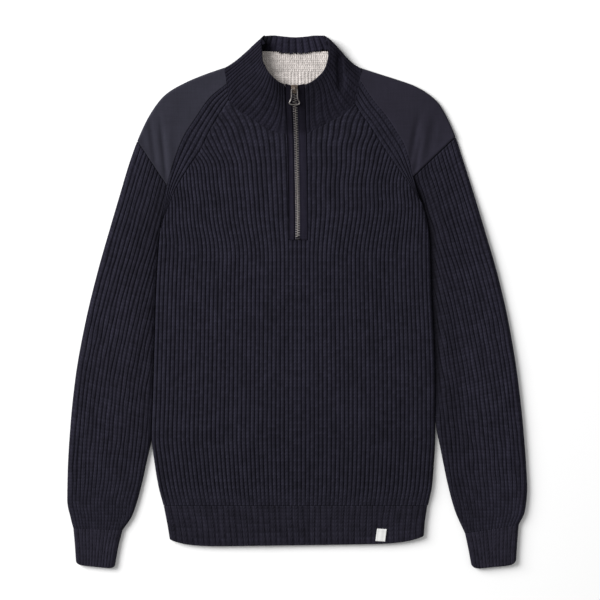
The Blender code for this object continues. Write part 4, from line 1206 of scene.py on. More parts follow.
COLLAR_WALL = 3.2
COLLAR_RISE = 6.5
LIFT_POWER = 1.3
SIDE_LIFT = {"left": 7.5, "right": 3.2}  # how much higher the top edge stands at the sides
SIDE_LIFT_FROM = (16, 42)  # out from the middle
NEARBY = 0.02  # a share of a rib, for its direction
COLLAR_WALES = {"left": 19, "right": 14}
COLLAR_STEPS = 8  # columns of faces across a wale
COLLAR_RIB_RISE = 0.75
COLLAR_BACK_WALES = 11
COLLAR_BACK_STEPS = 16
OUTER_STEPS = 30  # up the outer face, and how far of its length it takes
OUTER_END = 0.95
ROLL_ANGLES = (20, 40, 60, 80, 100, 120, 140, 160)  # over the top edge
ROLL_END = 0.965  # how far up its ends are, and how much further its top is
ROLL_BULGE = 0.035
TURN_IN_STEPS = 9
TURN_IN_START = 0.12
TURN_IN_RIM = (1.03, 1.035)  # where its edge begins to round, and ends
TAPE_REACH = 15.6  # the zip's tapes end here, out from its middle
FRONT_SHARE = 0.965  # of the top edge's length, before the side fold begins
LEAST_TRAVEL = -0.1  # how far below the neck seam the turned-in layer may come
FRONT_ROLL = 3.0
TURN_IN = 22.0
TURN_IN_BULK = 2.8
TURN_IN_FLAT = -0.1  # share of that bulk in the left corner
TURN_IN_FULL = (-50, -16)  # X between which it grows full
TURN_IN_RIB_RISE = 1.3
ZIP_AT_REST = 306.6  # Y of the slider
ZIP_HEAD = 311.5
LINKING_PITCH = 2.4
LINKING_DEPTH = 3.0
LINKING_UNEVEN = 0.9
# Painted shade on the collar, and a painted shadow in the turned-in band's left corner under the
# raised side.
COLLAR_PAINTED_SHADE = (0.74, 0.71)  # how light the outside is, left and right of the zip
ZIP_HEAD_PAINTED_SHADE = 0.62  # round the slider, as far out as the width says
ZIP_HEAD_WIDTH = (8, 50)
TURN_IN_PAINTED_SHADOW = (0.35, 1.08)  # down in the left corner, and past these X
TURN_IN_LIT = (-41, -28)

NeckLine = namedtuple("NeckLine", "reach seam_x seam_y low_x low_y high_x high_y top_x top_y")


def neck_line(*spots):
    """Rows of a neck line, each with how far along the top edge it is."""
    rows = []
    reach = 0.0
    for k, spot in enumerate(spots):
        if k:
            reach += math.dist(spot[-2:], spots[k - 1][-2:])
        rows.append(NeckLine(reach, *spot))
    return rows


# Each row is a rib: its X and Y at the neck seam, a third and two thirds of the way
# up, and at the top edge.
FRONT_NECK = {
    "left": neck_line(
        (-14.8, 241.8, -15.7, 266.4, -16.8, 291.1, -17.6, 312.8),
        (-26.8, 244.0, -20.3, 267.9, -19.6, 292.5, -20.3, 314.6),
        (-39.9, 249.0, -29.7, 270.8, -25.4, 294.0, -26.1, 317.2),
        (-52.9, 257.0, -40.6, 276.6, -32.6, 298.3, -31.2, 320.7),
        (-66.0, 266.4, -52.2, 282.4, -41.3, 304.1, -36.3, 325.6),
        (-79.0, 275.9, -64.5, 296.2, -51.5, 312.8, -42.3, 332.7),
        (-92.1, 285.3, -74.7, 304.1, -58.7, 320.8, -46.4, 340.4),
        (-99.3, 294.0, -80.5, 315.7, -63.1, 331.0, -49.6, 348.4),
        (-101.6, 314.3, -82.6, 332.4, -66.0, 346.1, -50.6, 361.4),
        (-105.9, 337.6, -85.4, 351.0, -68.0, 366.4, -52.0, 380.4),
    ),
    "right": neck_line(
        (13.8, 241.8, 12.9, 266.4, 11.9, 291.1, 11.0, 313.5),
        (23.9, 249.0, 21.5, 272.2, 21.5, 295.4, 18.9, 316.8),
        (41.3, 257.8, 37.0, 279.5, 34.8, 302.7, 26.1, 321.5),
        (55.8, 265.0, 46.4, 288.2, 41.3, 309.9, 31.9, 326.5),
        (71.8, 275.2, 58.7, 294.0, 48.6, 315.7, 37.8, 333.4),
        (83.4, 286.7, 67.4, 304.1, 53.7, 325.9, 41.6, 341.8),
        (88.5, 304.1, 74.0, 317.9, 58.7, 336.0, 44.2, 352.0),
        (90.6, 321.5, 78.3, 331.7, 63.8, 346.9, 45.1, 363.6),
        (92.9, 337.2, 74.8, 349.6, 59.8, 366.2, 44.0, 381.4),
    ),
}
BackRib = namedtuple("BackRib", "reach seam_x seam_y top_x top_y")
BACK_NECK = (
    BackRib(0.0, -79.0, 325.9, -46.4, 384.8),
    BackRib(28.5, -51.5, 318.6, -34.5, 385.4),
    BackRib(54.8, -25.4, 315.0, -19.6, 383.8),
    BackRib(79.5, -0.7, 314.3, -3.6, 382.6),
    BackRib(104.1, 23.9, 315.0, 12.3, 383.6),
    BackRib(127.6, 47.1, 318.6, 25.8, 385.2),
    BackRib(151.9, 70.3, 325.9, 38.4, 385.0),
)
# Where the right side's top edge rolls outwards, it leaves a trough beside it.
COLLAR_CREASES = (
    Crease(60.6, 364.0, 63.4, 313.0, 4.2, 7.0),
    Crease(-60.2, 345.0, -57.8, 326.0, 3.0, 0.9),
)

CollarRib = namedtuple("CollarRib", "spots base facing turned wale tuck")
CollarStep = namedtuple("CollarStep", "along through down bulk ribbed")


def front_lift(y):
    """How far the front stands up at the zip: nothing below the neck seam."""
    foot = FRONT_NECK["left"][0].seam_y
    return COLLAR_RISE * max((y - foot) / (ZIP_HEAD - foot), 0) ** LIFT_POWER


def spots_of(row):
    """The four spots of a row of FRONT_NECK, or of BACK_NECK's straight rib."""
    values = [Vector((*pair, 0)) for pair in zip(row[1::2], row[2::2])]
    if len(values) == 2:
        return [values[0].lerp(values[1], third / 3) for third in range(4)]
    return values


def along(spots, share):
    """A point on the cubic curve through four evenly spaced spots."""
    place = Vector((0, 0, 0))
    for n, spot in enumerate(spots):
        weight = 1.0
        for other in range(4):
            if other != n:
                weight *= (share * 3 - other) / (n - other)
        place += spot * weight
    return place


def collar_front(side):
    """The front's ribs, the lowest of which meet the front panel beside the tapes."""
    rows = FRONT_NECK[side]
    ribs = []
    steps = COLLAR_WALES[side] * COLLAR_STEPS
    for k in range(steps + 1):
        row = row_at(rows, rows[-1].reach * FRONT_SHARE * k / steps)
        spots = spots_of(row)
        seam = row_at(FRONT_COURSES[side], row.seam_y)
        if row.seam_y < FRONT_COURSES[side][-1].y and seam.inner > TAPE_REACH:
            spots[0].x = spine_x(row.seam_y) + math.copysign(seam.inner, spots[0].x)
        ribs.append(CollarRib(spots, None, 0, 0.0, k / COLLAR_STEPS, 0.0))
    return ribs


def collar_fold(side):
    """Round the side, from the front's last rib to the back's first one."""
    front = spots_of(FRONT_NECK[side][-1])
    back = spots_of(BACK_NECK[0 if side == "left" else -1])
    ribs = []
    for facing in range(0, 181, 12):
        share = fade(facing, 90, 180)
        spots = [near.lerp(far, share) for near, far in zip(front, back)]
        wale = COLLAR_WALES[side] + facing / 90
        ribs.append(CollarRib(spots, front, facing, share, wale, 1 - share))
    return ribs


def collar_back():
    ribs = []
    steps = COLLAR_BACK_WALES * COLLAR_BACK_STEPS
    for k in range(1, steps):
        row = row_at(BACK_NECK, BACK_NECK[-1].reach * k / steps)
        ribs.append(CollarRib(spots_of(row), None, 180, 1.0, k / COLLAR_BACK_STEPS, 0.0))
    return ribs


def collar_profile():
    """Up the outer face, over the top edge, down the turned-in layer and the inside."""
    steps = []
    for k in range(OUTER_STEPS + 1):
        steps.append(CollarStep(OUTER_END * k / OUTER_STEPS, 1.0, 0, 0, ease((k + 1) / 2)))
    for degrees in ROLL_ANGLES:
        angle = math.radians(degrees)
        bulk = (1 - math.cos(angle)) / 2
        climbed = ROLL_END + ROLL_BULGE * math.sin(angle)
        steps.append(CollarStep(climbed, math.cos(angle), 0, bulk, 1 - degrees / 200))
    for k in range(1, TURN_IN_STEPS + 1):
        down = blend(TURN_IN_START, 1.0, k / TURN_IN_STEPS)
        steps.append(CollarStep(1.0, -1.0, down, 1, 1))
    steps.append(CollarStep(1.0, -1.0, TURN_IN_RIM[0], 0.75, 0))
    steps.append(CollarStep(1.0, -1.0, TURN_IN_RIM[1], 0, 0))
    steps.append(CollarStep(0.3, -1.0, 0, 0, 0))
    steps.append(CollarStep(0.0, -1.0, 0, 0, 0))
    return steps


def zigzag(place):
    """From 1 down to 0 and back for each whole step of place."""
    return abs(2 * (place % 1) - 1)


def make_collar():
    left = collar_front("left") + collar_fold("left")
    right = collar_front("right") + collar_fold("right")
    ribs = left + collar_back() + right[::-1]
    steps = collar_profile()
    half = COLLAR_WALL / 2

    def turned_in(rib):
        """How far the cloth comes down behind the top edge, to its uneven linking."""
        ragged = LINKING_UNEVEN * waver(rib.wale * 5.1, 0.7, 0.4)
        linking = LINKING_DEPTH * (zigzag(rib.wale * 8.1 / LINKING_PITCH) + ragged)
        return blend(FRONT_ROLL, TURN_IN + linking, rib.turned)

    def point(i, j):
        rib = ribs[j]
        step = steps[i % len(steps)]
        length = (rib.spots[3] - rib.spots[0]).length
        travel = max(length * step.along - turned_in(rib) * step.down, LEAST_TRAVEL)
        share = min(travel / length, 1)
        top = rib.base[3] if rib.base else rib.spots[3]
        lift = SIDE_LIFT["left" if top.x < 0 else "right"] * fade(abs(top.x), *SIDE_LIFT_FROM)
        rise = COLLAR_RISE * share**LIFT_POWER + lift * share * share
        front_mid = WALL + SEAM_GAP + half + rise
        radius = (front_mid - half) / 2
        middle = along(rib.spots, share)
        ahead = along(rib.base or rib.spots, min(share, 1) + NEARBY)
        behind = along(rib.base or rib.spots, share - NEARBY)
        away = (ahead - behind).normalized().cross(Vector((0, 0, 1)))
        if away.x * rib.spots[0].x < 0:
            away.negate()
        angle = math.radians(rib.facing)
        facing = away * math.sin(angle) + Vector((0, 0, math.cos(angle)))
        if rib.base:
            middle.z = (front_mid + half) / 2
            middle += facing * radius - away * (radius + half) * rib.tuck
        else:
            middle.z = front_mid if rib.facing == 0 else half
        ridge = ridge_of(rib.wale) * stitch_swell(rib.wale, travel / STITCH)
        offset = half * step.through
        if rib.facing <= 90:
            offset += COLLAR_RIB_RISE * ridge * step.ribbed * (step.through > 0)
        if rib.facing == 0:
            middle.z -= min(crease_drop(COLLAR_CREASES, middle.xy), rise)
        if step.bulk:
            bulk = TURN_IN_BULK * blend(TURN_IN_FLAT, 1.0, fade(middle.x, *TURN_IN_FULL))
            offset -= (bulk * step.bulk + TURN_IN_RIB_RISE * ridge * step.ribbed) * rib.turned
        return middle + facing * offset

    def uv(i, j, after):
        rib = ribs[j]
        length = (rib.spots[3] - rib.spots[0]).length
        step = steps[min(i, len(steps) - 1)]
        climbed = length * step.along + TURN_IN * step.down
        if i > len(steps) - 3:
            climbed = 2 * length
        return (rib.wale, climbed / STITCH)

    def shade(i, j):
        """Painted shade: darker outside than on the turned-in band, darkest round the zip's head,
        and a painted shadow in the band's left corner.
        """
        rib = ribs[j]
        step = steps[min(i, len(steps) - 1)]
        spot = along(rib.spots, min(step.along, 1))
        near = (spot - Vector((spine_x(ZIP_AT_REST), ZIP_AT_REST, 0))).length
        outside = blend(*COLLAR_PAINTED_SHADE, fade(spot.x, 0, 20))
        outside *= blend(ZIP_HEAD_PAINTED_SHADE, 1.0, fade(near, *ZIP_HEAD_WIDTH))
        band = blend(*TURN_IN_PAINTED_SHADOW, fade(spot.x, *TURN_IN_LIT))
        return blend(outside, band, ease(rib.turned * 3))

    bm = skin(len(steps), len(ribs) - 1, point, uv, shade)
    bmesh.ops.remove_doubles(bm, verts=bm.verts, dist=0.01)
    open_edges = [edge for edge in bm.edges if edge.is_boundary]
    bmesh.ops.holes_fill(bm, edges=open_edges, sides=0)
    return bm


navy_collar_rib = new_rib("navy_collar_rib", (0.0152, 0.0142, 0.0240), (0.0113, 0.0100, 0.0184))
collar = add_piece("collar_rib", make_collar(), navy_collar_rib)
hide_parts("collar")

# ---------------------------------------------------------------------------------
# Neck lining: the collar's inside in undyed cream wool, where it shows at the back of
# the neck: purl rows across, and below them fine wales that run down.

LINING_FLOOR = COLLAR_WALL + SEAM_GAP
LINING_CLOTH = 1.0
LINING_COLUMNS = 120
LINING_ROWS = 0.8
PURL_FOOT = 333.0  # Y where the purl rows end
PURL_PITCH = 3.3
PURL_LOOP = 3.1  # width of a loop along a purl row
PURL_RISE = 0.9
PURL_LOOP_RISE = 0.25
LINING_WALE = 4.9
LINING_RISE = 0.8
LINING_UNEVEN = 0.35
LINING_CURL = 1.6  # how far its right edge curls up, over this many columns
LINING_CURL_COLUMNS = 20
LiningRow = namedtuple("LiningRow", "y left right")
LINING = (
    LiningRow(310.5, -33.8, 27.2),
    LiningRow(312.0, -36.0, 29.5),
    LiningRow(318.0, -44.0, 38.0),
    LiningRow(330.0, -53.0, 46.5),
    LiningRow(345.0, -54.0, 47.5),
    LiningRow(362.0, -50.5, 44.0),
)


def swing(place):
    """A cosine wave from 0 to 1, with its tops at whole numbers."""
    return 0.5 + 0.5 * math.cos(2 * math.pi * place)


def make_lining():
    ys = even_steps(LINING[0].y, LINING[-1].y, LINING_ROWS)
    rows = [row_at(LINING, y) for y in ys]

    def point(i, j):
        row = rows[j]
        x = blend(row.left, row.right, i / LINING_COLUMNS)
        purl = fade(row.y, PURL_FOOT - 1.5, PURL_FOOT + 1.5)
        loop_at = x / PURL_LOOP + math.floor(row.y / PURL_PITCH) * 0.5
        across = swing(row.y / PURL_PITCH) + PURL_LOOP_RISE * math.cos(2 * math.pi * loop_at)
        relief = blend(LINING_RISE * swing(x / LINING_WALE), PURL_RISE * across, purl)
        relief += LINING_UNEVEN * waver(x / 2.5, row.y / 2.5, 4.0)
        curl = LINING_CURL * fade(i, LINING_COLUMNS - LINING_CURL_COLUMNS, LINING_COLUMNS)
        return Vector((x, row.y, LINING_FLOOR + LINING_CLOTH + relief + curl))

    def uv(i, j, after):
        x = blend(rows[j].left, rows[j].right, i / LINING_COLUMNS)
        if rows[j].y > PURL_FOOT:
            return (rows[j].y / PURL_PITCH, x / PURL_LOOP)
        return (x / LINING_WALE, rows[j].y / PURL_PITCH)

    bm = skin(LINING_COLUMNS, len(rows) - 1, point, uv)
    close_flat(bm, LINING_FLOOR)
    return bm


cream_wool = new_rib("cream_wool", (0.69, 0.644, 0.622), (0.44, 0.400, 0.376), 0.4)
lining = add_piece("neck_lining_knit", make_lining(), cream_wool)
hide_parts("neck_lining")

# ---------------------------------------------------------------------------------
# Zip: two plain tapes set in beside the slot, and a row of antique brass teeth
# clamped to their inner edges, with a stop below.

ZIP_FOOT = 89.6
TAPE_INNER = 1.2
TAPE_EDGE = {"left": 13.1, "right": 15.0}
TAPE_COLUMNS = 24
TAPE_ROWS = 2.2
TAPE_TOP = 6.0
TAPE_UNDER = 4.0
TAPE_CROWN = 0.35
TAPE_ROUND = (1.2, 0.8)  # how wide and deep its outer edge rounds down
TAPE_SLANT = 3.2  # how far its head rises towards its outer edge
TAPE_SLANT_LENGTH = 12
TAPE_BEAD = {"left": -1.3, "right": 0.4}  # a crease or a cord beside the teeth
TAPE_BEAD_AT = 4.1
TAPE_BEAD_WIDTH = 0.8
# Painted shade across the tape and inside the collar.
TAPE_PAINTED_SHADE = (0.86, 1.20)  # at its edges and along its middle
TAPE_INSIDE_PAINTED_SHADE = 0.48  # inside the collar, from these Y up
TAPE_INSIDE = (238, 252)
TOOTH_PITCH = 3.4  # between teeth of one side
TOOTH_SIZE = Vector((3.7, 1.25, 2.3))
TOOTH_AT = 1.3  # its middle, out from the zip's middle
TOOTH_OVER_TAPE = 1.0
CHAIN_FOOT = 94.6
CHAIN_HEAD = 299.0
STOP_SIZE = Vector((6.4, 2.6, 3.2))
STOP_Y = 91.3
STOP_OVER_TAPE = 1.5

tape_twill = new_weave("tape_twill", 0.0009, (0.0182, 0.0167, 0.0272), (0.0088, 0.0075, 0.0130),
                       slub=0.8, roughness=0.95, specular=0.04, bump=(0.7, 0.4), shaded=True)


def make_tape(side):
    ys = even_steps(ZIP_FOOT, ZIP_HEAD, TAPE_ROWS)

    def top_point(i, j):
        share = i / TAPE_COLUMNS
        offset = blend(TAPE_INNER, TAPE_EDGE[side], share)
        y = ys[j] + TAPE_SLANT * share * fade(ys[j], ZIP_HEAD - TAPE_SLANT_LENGTH, ZIP_HEAD)
        height = TAPE_TOP + front_lift(ys[j]) + TAPE_CROWN * math.sin(math.pi * share)
        height -= edge_fall((1 - share) * (TAPE_EDGE[side] - TAPE_INNER), *TAPE_ROUND)
        from_bead = (offset - TAPE_BEAD_AT) / TAPE_BEAD_WIDTH
        height += TAPE_BEAD[side] * math.exp(-(from_bead**2))
        return Vector((spine_x(ys[j]) + OUTWARD[side] * offset, y, height))

    def under_point(i, j):
        spot = top_point(i, j)
        spot.z = TAPE_UNDER + front_lift(ys[j])
        return spot

    def uv(i, j, after):
        return (i / 4, ys[j] / 4)

    def shade(i, j):
        """Painted shade: darker inside the collar, under its standing edge, and towards both its
        edges.
        """
        across = blend(*TAPE_PAINTED_SHADE, math.sin(math.pi * i / TAPE_COLUMNS))
        return across * blend(1.0, TAPE_INSIDE_PAINTED_SHADE, fade(ys[j], *TAPE_INSIDE))

    return two_faced(TAPE_COLUMNS, len(ys) - 1, top_point, under_point, uv, shade)


for side in SIDES:
    tape = add_piece("zip_tape_cloth_" + side, make_tape(side), tape_twill)
    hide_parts("zip_tape_" + side)


def make_aged_brass():
    """Antique brass: bright where it is worn, brown and dull elsewhere, with fine
    grains, and a painted shade that darkens it up the zip towards the collar."""
    inputs = [("Object", "Vector"), ("Bright Colour", "Color"), ("Tarnish Colour", "Color")]
    outputs = [("Colour", "Color"), ("Roughness", "Float"), ("Height", "Float")]
    group, given, result = new_group("aged_brass", inputs, outputs)
    clouds = noise_node(group, given["Object"], 420.0, 4.0, 0.7)
    grains = noise_node(group, given["Object"], 5200.0, 2.0, 0.6)
    bright = ramp_node(group, clouds, 0.36, 0.64, 0.0, 1.0)
    bright = math_node(group, "MULTIPLY_ADD", grains, 0.3, bright)
    colour = mix_node(group, bright, given["Tarnish Colour"], given["Bright Colour"])
    # Painted shade: darker up the zip under the collar, lighter towards its foot.
    painted_shade_up_zip = ramp_node(group, axes_of(group, given["Object"])["Y"], 0.10, 0.27, 1.30, 0.60)
    roughness = math_node(group, "MULTIPLY_ADD", bright, -0.18, 0.55)
    feed(group, result["Colour"], vector_node(group, "SCALE", colour, painted_shade_up_zip))
    feed(group, result["Roughness"], roughness)
    feed(group, result["Height"], grains)
    return group


aged_brass = make_aged_brass()


def new_brass(name, bright, tarnish):
    settings = {"Bright Colour": (*bright, 1), "Tarnish Colour": (*tarnish, 1)}
    return new_material(name, aged_brass, settings, roughness=0.45, specular=0.5,
                        bump=(0.25, 0.05), metallic=0.85)


antique_brass = new_brass("antique_brass", (0.45, 0.421, 0.410), (0.165, 0.145, 0.136))


def block(size, middle=(0, 0, 0)):
    bm = bmesh.new()
    bmesh.ops.create_cube(bm, size=1)
    bmesh.ops.scale(bm, vec=size, verts=bm.verts)
    bmesh.ops.translate(bm, vec=middle, verts=bm.verts)
    return bm


def bevel(bm, edges, rounding, segments):
    bmesh.ops.bevel(bm, geom=edges, offset=rounding, segments=segments, profile=0.5,
                    affect="EDGES", material=-1)


def rounded_box(size, middle, rounding, segments=2):
    """A bmesh of a box with all its edges rounded."""
    bm = block(size, middle)
    bevel(bm, bm.edges[:], rounding, segments)
    return bm


def add_copy(whole, part, place):
    """Adds a part's mesh to a bmesh, turned and moved to its place."""
    known = len(whole.verts)
    whole.from_mesh(part)
    whole.verts.ensure_lookup_table()
    bmesh.ops.transform(whole, matrix=place, verts=whole.verts[known:])


def mesh_of(bm):
    mesh = bpy.data.meshes.new("part")
    bm.to_mesh(mesh)
    bm.free()
    return mesh


def place_along_zip(y, over_tape, span):
    """A turn and a move to this place on the zip, sloped as the front is there."""
    slope = math.atan2(front_lift(y + span / 2) - front_lift(y - span / 2), span)
    spot = Vector((spine_x(y), y, TAPE_TOP + over_tape + front_lift(y)))
    return Matrix.Translation(spot) @ Matrix.Rotation(slope, 4, "X")


tooth = mesh_of(rounded_box(TOOTH_SIZE, (TOOTH_AT, 0, -TOOTH_SIZE.z / 2), 0.28))
chain_bm = bmesh.new()
for side, turn, start in (("left", math.pi, 0.0), ("right", 0.0, TOOTH_PITCH / 2)):
    y = CHAIN_FOOT + start
    while y < CHAIN_HEAD:
        place = place_along_zip(y, TOOTH_OVER_TAPE, 2)
        add_copy(chain_bm, tooth, place @ Matrix.Rotation(turn, 4, "Z"))
        y += TOOTH_PITCH
chain = add_piece("zip_teeth", chain_bm, antique_brass)
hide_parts("zip_chain")

stop_middle = (spine_x(STOP_Y), STOP_Y, TAPE_TOP + STOP_OVER_TAPE - STOP_SIZE.z / 2)
blackened_brass = new_brass("blackened_brass", (0.060, 0.056, 0.060), (0.030, 0.028, 0.032))
stop = add_piece("zip_foot_stop", rounded_box(STOP_SIZE, stop_middle, 0.5, 3), blackened_brass)
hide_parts("zip_bottom_stop")

# ---------------------------------------------------------------------------------
# Slider: cast brass, two plates on a stem between the tapes, with an arched bail that
# holds the pull's axle. It stands at the top of its travel.

PLATE = 1.6
PLATE_OVER_TAPE = 2.2
UPPER_PLATE = Vector((10.0, 12.6, PLATE))
LOWER_PLATE = Vector((8.4, 9.8, PLATE))
PLATE_TAPER = 0.76  # width of the plate's foot as a share of its head's
PLATE_CORNER = 2.4
PLATE_EDGE = 0.45
STEM = Vector((5.0, 6.4, 5.4))
STEM_MIDDLE = (0, 2.0, -STEM.z / 2 - 0.3)
BAIL_OUTER = 4.3
BAIL_INNER = 3.1
BAIL_HALF = 1.2
BAIL_HEIGHT = 4.1
BAIL_SUNK = 0.1  # how far its feet stand in the plate
AXLE_OVER_PLATE = 1.75


def rise_of(edge):
    return abs(edge.verts[0].co.z - edge.verts[1].co.z)


def slider_plate(size, height):
    """A plate that narrows to its foot, with round corners and soft edges."""
    bm = block(size)
    for vertex in bm.verts:
        if vertex.co.y < 0:
            vertex.co.x *= PLATE_TAPER
    bevel(bm, [edge for edge in bm.edges if rise_of(edge) > 1], PLATE_CORNER, 6)
    bevel(bm, [edge for edge in bm.edges if rise_of(edge) < 0.1], PLATE_EDGE, 3)
    bmesh.ops.translate(bm, vec=(0, 0, height), verts=bm.verts)
    return mesh_of(bm)


def slider_bail():
    """Half a ring over the axle, from the plate's head to its foot."""
    bm = bmesh.new()
    bmesh.ops.create_grid(bm, x_segments=1, y_segments=1, size=0.5)
    bmesh.ops.scale(bm, vec=(2 * BAIL_HALF, BAIL_OUTER - BAIL_INNER, 1), verts=bm.verts)
    bmesh.ops.translate(bm, vec=(0, -(BAIL_OUTER + BAIL_INNER) / 2, 0), verts=bm.verts)
    bmesh.ops.spin(bm, geom=bm.faces[:] + bm.edges[:] + bm.verts[:], cent=(0, 0, 0),
                   axis=(-1, 0, 0), angle=math.pi, steps=20, use_duplicate=False)
    bmesh.ops.scale(bm, vec=(1, 1, BAIL_HEIGHT / BAIL_OUTER), verts=bm.verts)
    bmesh.ops.recalc_face_normals(bm, faces=bm.faces)
    long_edges = [edge for edge in bm.edges if edge.calc_face_angle(0) > 1.0
                  and abs(edge.verts[0].co.x - edge.verts[1].co.x) < 0.1]
    bevel(bm, long_edges, 0.3, 2)
    return mesh_of(bm)


slider_place = place_along_zip(ZIP_AT_REST, PLATE_OVER_TAPE, 6)
slider_bm = bmesh.new()
add_copy(slider_bm, slider_plate(UPPER_PLATE, -PLATE / 2), Matrix())
add_copy(slider_bm, slider_plate(LOWER_PLATE, -STEM.z), Matrix())
add_copy(slider_bm, mesh_of(rounded_box(STEM, STEM_MIDDLE, 0.6)), Matrix())
add_copy(slider_bm, slider_bail(), Matrix.Translation((0, 0, -BAIL_SUNK)))
bmesh.ops.transform(slider_bm, matrix=slider_place, verts=slider_bm.verts)
brown_brass = new_brass("brown_brass", (0.36, 0.292, 0.245), (0.150, 0.112, 0.088))
slider = add_piece("zip_slider_cast", slider_bm, brown_brass)
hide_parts("zip_slider")

# ---------------------------------------------------------------------------------
# Pull: a closed loop of brass wire, narrow at the axle and flared at its foot, which
# hangs from the bail and lies on the teeth.

PULL_WIRE = 0.95
PULL_DROOP = math.radians(9.5)
Bend = namedtuple("Bend", "side down")
PULL_LOOP = (
    Bend(0.0, 0.0),
    Bend(3.0, 0.0),
    Bend(3.9, 0.5),
    Bend(4.2, 1.6),
    Bend(4.3, 6.0),
    Bend(4.4, 12.0),
    Bend(5.0, 15.0),
    Bend(6.5, 17.6),
    Bend(7.2, 19.4),
    Bend(6.9, 21.0),
    Bend(5.4, 21.9),
    Bend(3.0, 22.2),
    Bend(0.0, 22.3),
)


def make_pull():
    """The loop as a bevelled curve, made a mesh and laid down at its place."""
    route = list(PULL_LOOP) + [Bend(-bend.side, bend.down) for bend in PULL_LOOP[-2:0:-1]]
    curve = bpy.data.curves.new("pull_wire", "CURVE")
    curve.dimensions = "3D"
    curve.bevel_depth = PULL_WIRE
    curve.bevel_resolution = 4
    spline = curve.splines.new("BEZIER")
    spline.resolution_u = 5
    spline.bezier_points.add(len(route) - 1)
    for spot, bend in zip(spline.bezier_points, route):
        spot.co = (bend.side, -bend.down, 0)
        spot.handle_left_type = "AUTO"
        spot.handle_right_type = "AUTO"
    spline.use_cyclic_u = True
    wire = bpy.data.objects.new("pull_wire", curve)
    bm = bmesh.new()
    bm.from_mesh(wire.to_mesh())
    wire.to_mesh_clear()
    bpy.data.objects.remove(wire)
    lie_down = Matrix.Translation(slider_place @ Vector((0, 0, AXLE_OVER_PLATE)))
    lie_down = lie_down @ Matrix.Rotation(PULL_DROOP, 4, "X")
    bmesh.ops.transform(bm, matrix=lie_down, verts=bm.verts)
    return bm


pull = add_piece("zip_pull_wire", make_pull(), antique_brass, "pull")
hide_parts("zip_pull")

# ---------------------------------------------------------------------------------
# Hem label: a small white label in woven satin, blank, with its ends folded under. It
# is sewn over the hem's ribs, near the right side.

LABEL_WIDTH = 13.9
LABEL_LENGTH = 18.0
LABEL_AT = (121.2, -337.2)
LABEL_TURN = math.radians(-3.0)
LABEL_LEAN = math.tan(math.radians(4.5))
LABEL_UNDER = FOLDED + HEM_RISE + 0.3
LABEL_CLOTH = 0.5
LABEL_FOLD = 4.2  # length of each end folded under, which lifts the label a little
LABEL_FOLD_RISE = 0.16
LABEL_DIP = 0.12  # between the ribs under it
LABEL_DIP_PITCH = 8.2
LABEL_STITCH = Vector((1.7, 0.34, 0.3))
LABEL_STITCH_PITCH = 2.6
LABEL_STITCH_AT = 0.22  # its middle, over the cloth

white_satin = new_weave("white_satin", 0.00035, (0.80, 0.80, 0.79), (0.62, 0.62, 0.61),
                        slub=0.12, roughness=0.6, specular=0.3, bump=(0.3, 0.1))


def label_dip(x):
    """The label lies over three ribs, and dips a little between them."""
    return LABEL_DIP * math.cos(2 * math.pi * x / LABEL_DIP_PITCH)


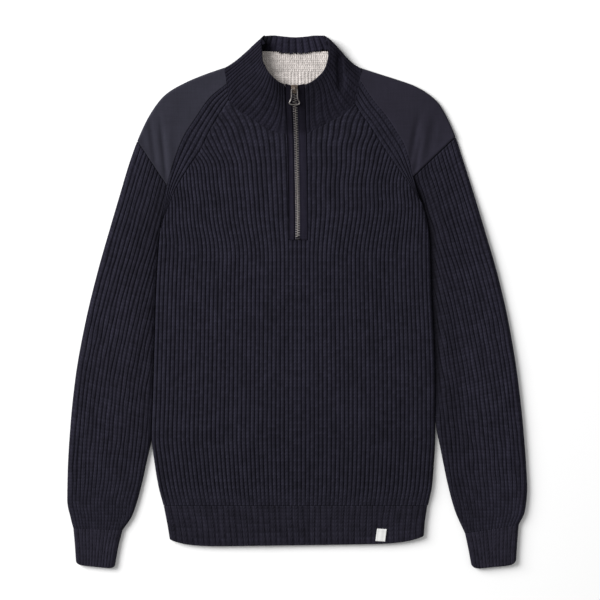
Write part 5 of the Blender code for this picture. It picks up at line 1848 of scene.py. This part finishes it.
def make_label():
    columns, rows = 28, 34

    def shaped(i, j, top):
        x = LABEL_WIDTH * (i / columns - 0.5)
        y = LABEL_LENGTH * (j / rows - 0.5)
        rim = min(LABEL_WIDTH / 2 - abs(x), LABEL_LENGTH / 2 - abs(y))
        dip = label_dip(x) + 0.15 * noise.noise(Vector((x, y, 3)) / 9)
        fold_at = LABEL_LENGTH / 2 - LABEL_FOLD
        fold = LABEL_FOLD_RISE * fade(abs(y), fold_at, fold_at + 0.5)
        height = LABEL_CLOTH + fold - edge_fall(rim, 0.4, 0.3) if top else 0.0
        return Vector((x, y, LABEL_UNDER + dip + height))

    bm = two_faced(columns, rows, lambda i, j: shaped(i, j, True),
                   lambda i, j: shaped(i, j, False), lambda i, j, after: (i / columns, j / rows))
    stitch = mesh_of(rounded_box(LABEL_STITCH, (0, 0, 0), 0.14))
    seam_y = LABEL_LENGTH / 2 - 1.2
    seam_x = LABEL_WIDTH / 2 - 1.6
    for y in (-seam_y, seam_y):
        for x in even_steps(-seam_x, seam_x, LABEL_STITCH_PITCH):
            height = LABEL_UNDER + LABEL_CLOTH + LABEL_STITCH_AT + label_dip(x)
            add_copy(bm, stitch, Matrix.Translation((x, y, height)))
    turn = Matrix.Translation((*LABEL_AT, 0)) @ Matrix.Rotation(LABEL_TURN, 4, "Z")
    turn @= Matrix.Shear("XZ", 4, (LABEL_LEAN, 0.0))
    bmesh.ops.transform(bm, matrix=turn, verts=bm.verts)
    return bm


label = add_piece("hem_label_satin", make_label(), white_satin)
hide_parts("hem_label")

# ---------------------------------------------------------------------------------
# Where the sweater lies: a plain white floor in soft light, seen straight from above.

FLOOR_HALF = 3  # metres, from here on
FLOOR_Z = -0.0004
LIGHT_FROM = Vector((-3.89, 1.89, 2.50))
CAMERA_HEIGHT = 3.2
CLOTH_TOP = 0.006
FRAME_WIDTH = 0.8674  # what the picture takes in at the cloth's height
VIEW_CENTRE = (0.0040, 0.0025)

floor_bm = bmesh.new()
bmesh.ops.create_grid(floor_bm, x_segments=1, y_segments=1, size=FLOOR_HALF)
bmesh.ops.translate(floor_bm, vec=(0, 0, FLOOR_Z), verts=floor_bm.verts)
floor_mesh = mesh_of(floor_bm)
floor_white = bpy.data.materials.new("floor_white")
floor_white.use_nodes = True
paint = floor_white.node_tree.nodes["Principled BSDF"].inputs
paint["Base Color"].default_value = (0.98, 0.98, 0.98, 1)
paint["Roughness"].default_value = 0.9
paint["Specular IOR Level"].default_value = 0.0
floor_mesh.materials.append(floor_white)
floor = bpy.data.objects.new("floor", floor_mesh)

window = bpy.data.lights.new("window", "AREA")
window.shape = "DISK"
window.size = 3.8
window.energy = 428
lamp = bpy.data.objects.new("window", window)
lamp.location = LIGHT_FROM
lamp.rotation_euler = LIGHT_FROM.to_track_quat("Z", "Y").to_euler()

room = bpy.data.worlds.new("room")
room.use_nodes = True
sky = room.node_tree.nodes["Background"].inputs
sky["Color"].default_value = (1.0, 1.0, 1.0, 1)
sky["Strength"].default_value = 0.40

lens = bpy.data.cameras.new("camera")
lens.sensor_width = 36.0
lens.lens = lens.sensor_width * (CAMERA_HEIGHT - CLOTH_TOP) / FRAME_WIDTH
lens.clip_end = 20.0
camera = bpy.data.objects.new("camera", lens)
camera.location = (*VIEW_CENTRE, CAMERA_HEIGHT)

scene = bpy.context.scene
for staged in (floor, lamp, camera):
    scene.collection.objects.link(staged)
scene.world = room
scene.view_settings.view_transform = "Standard"
scene.camera = camera
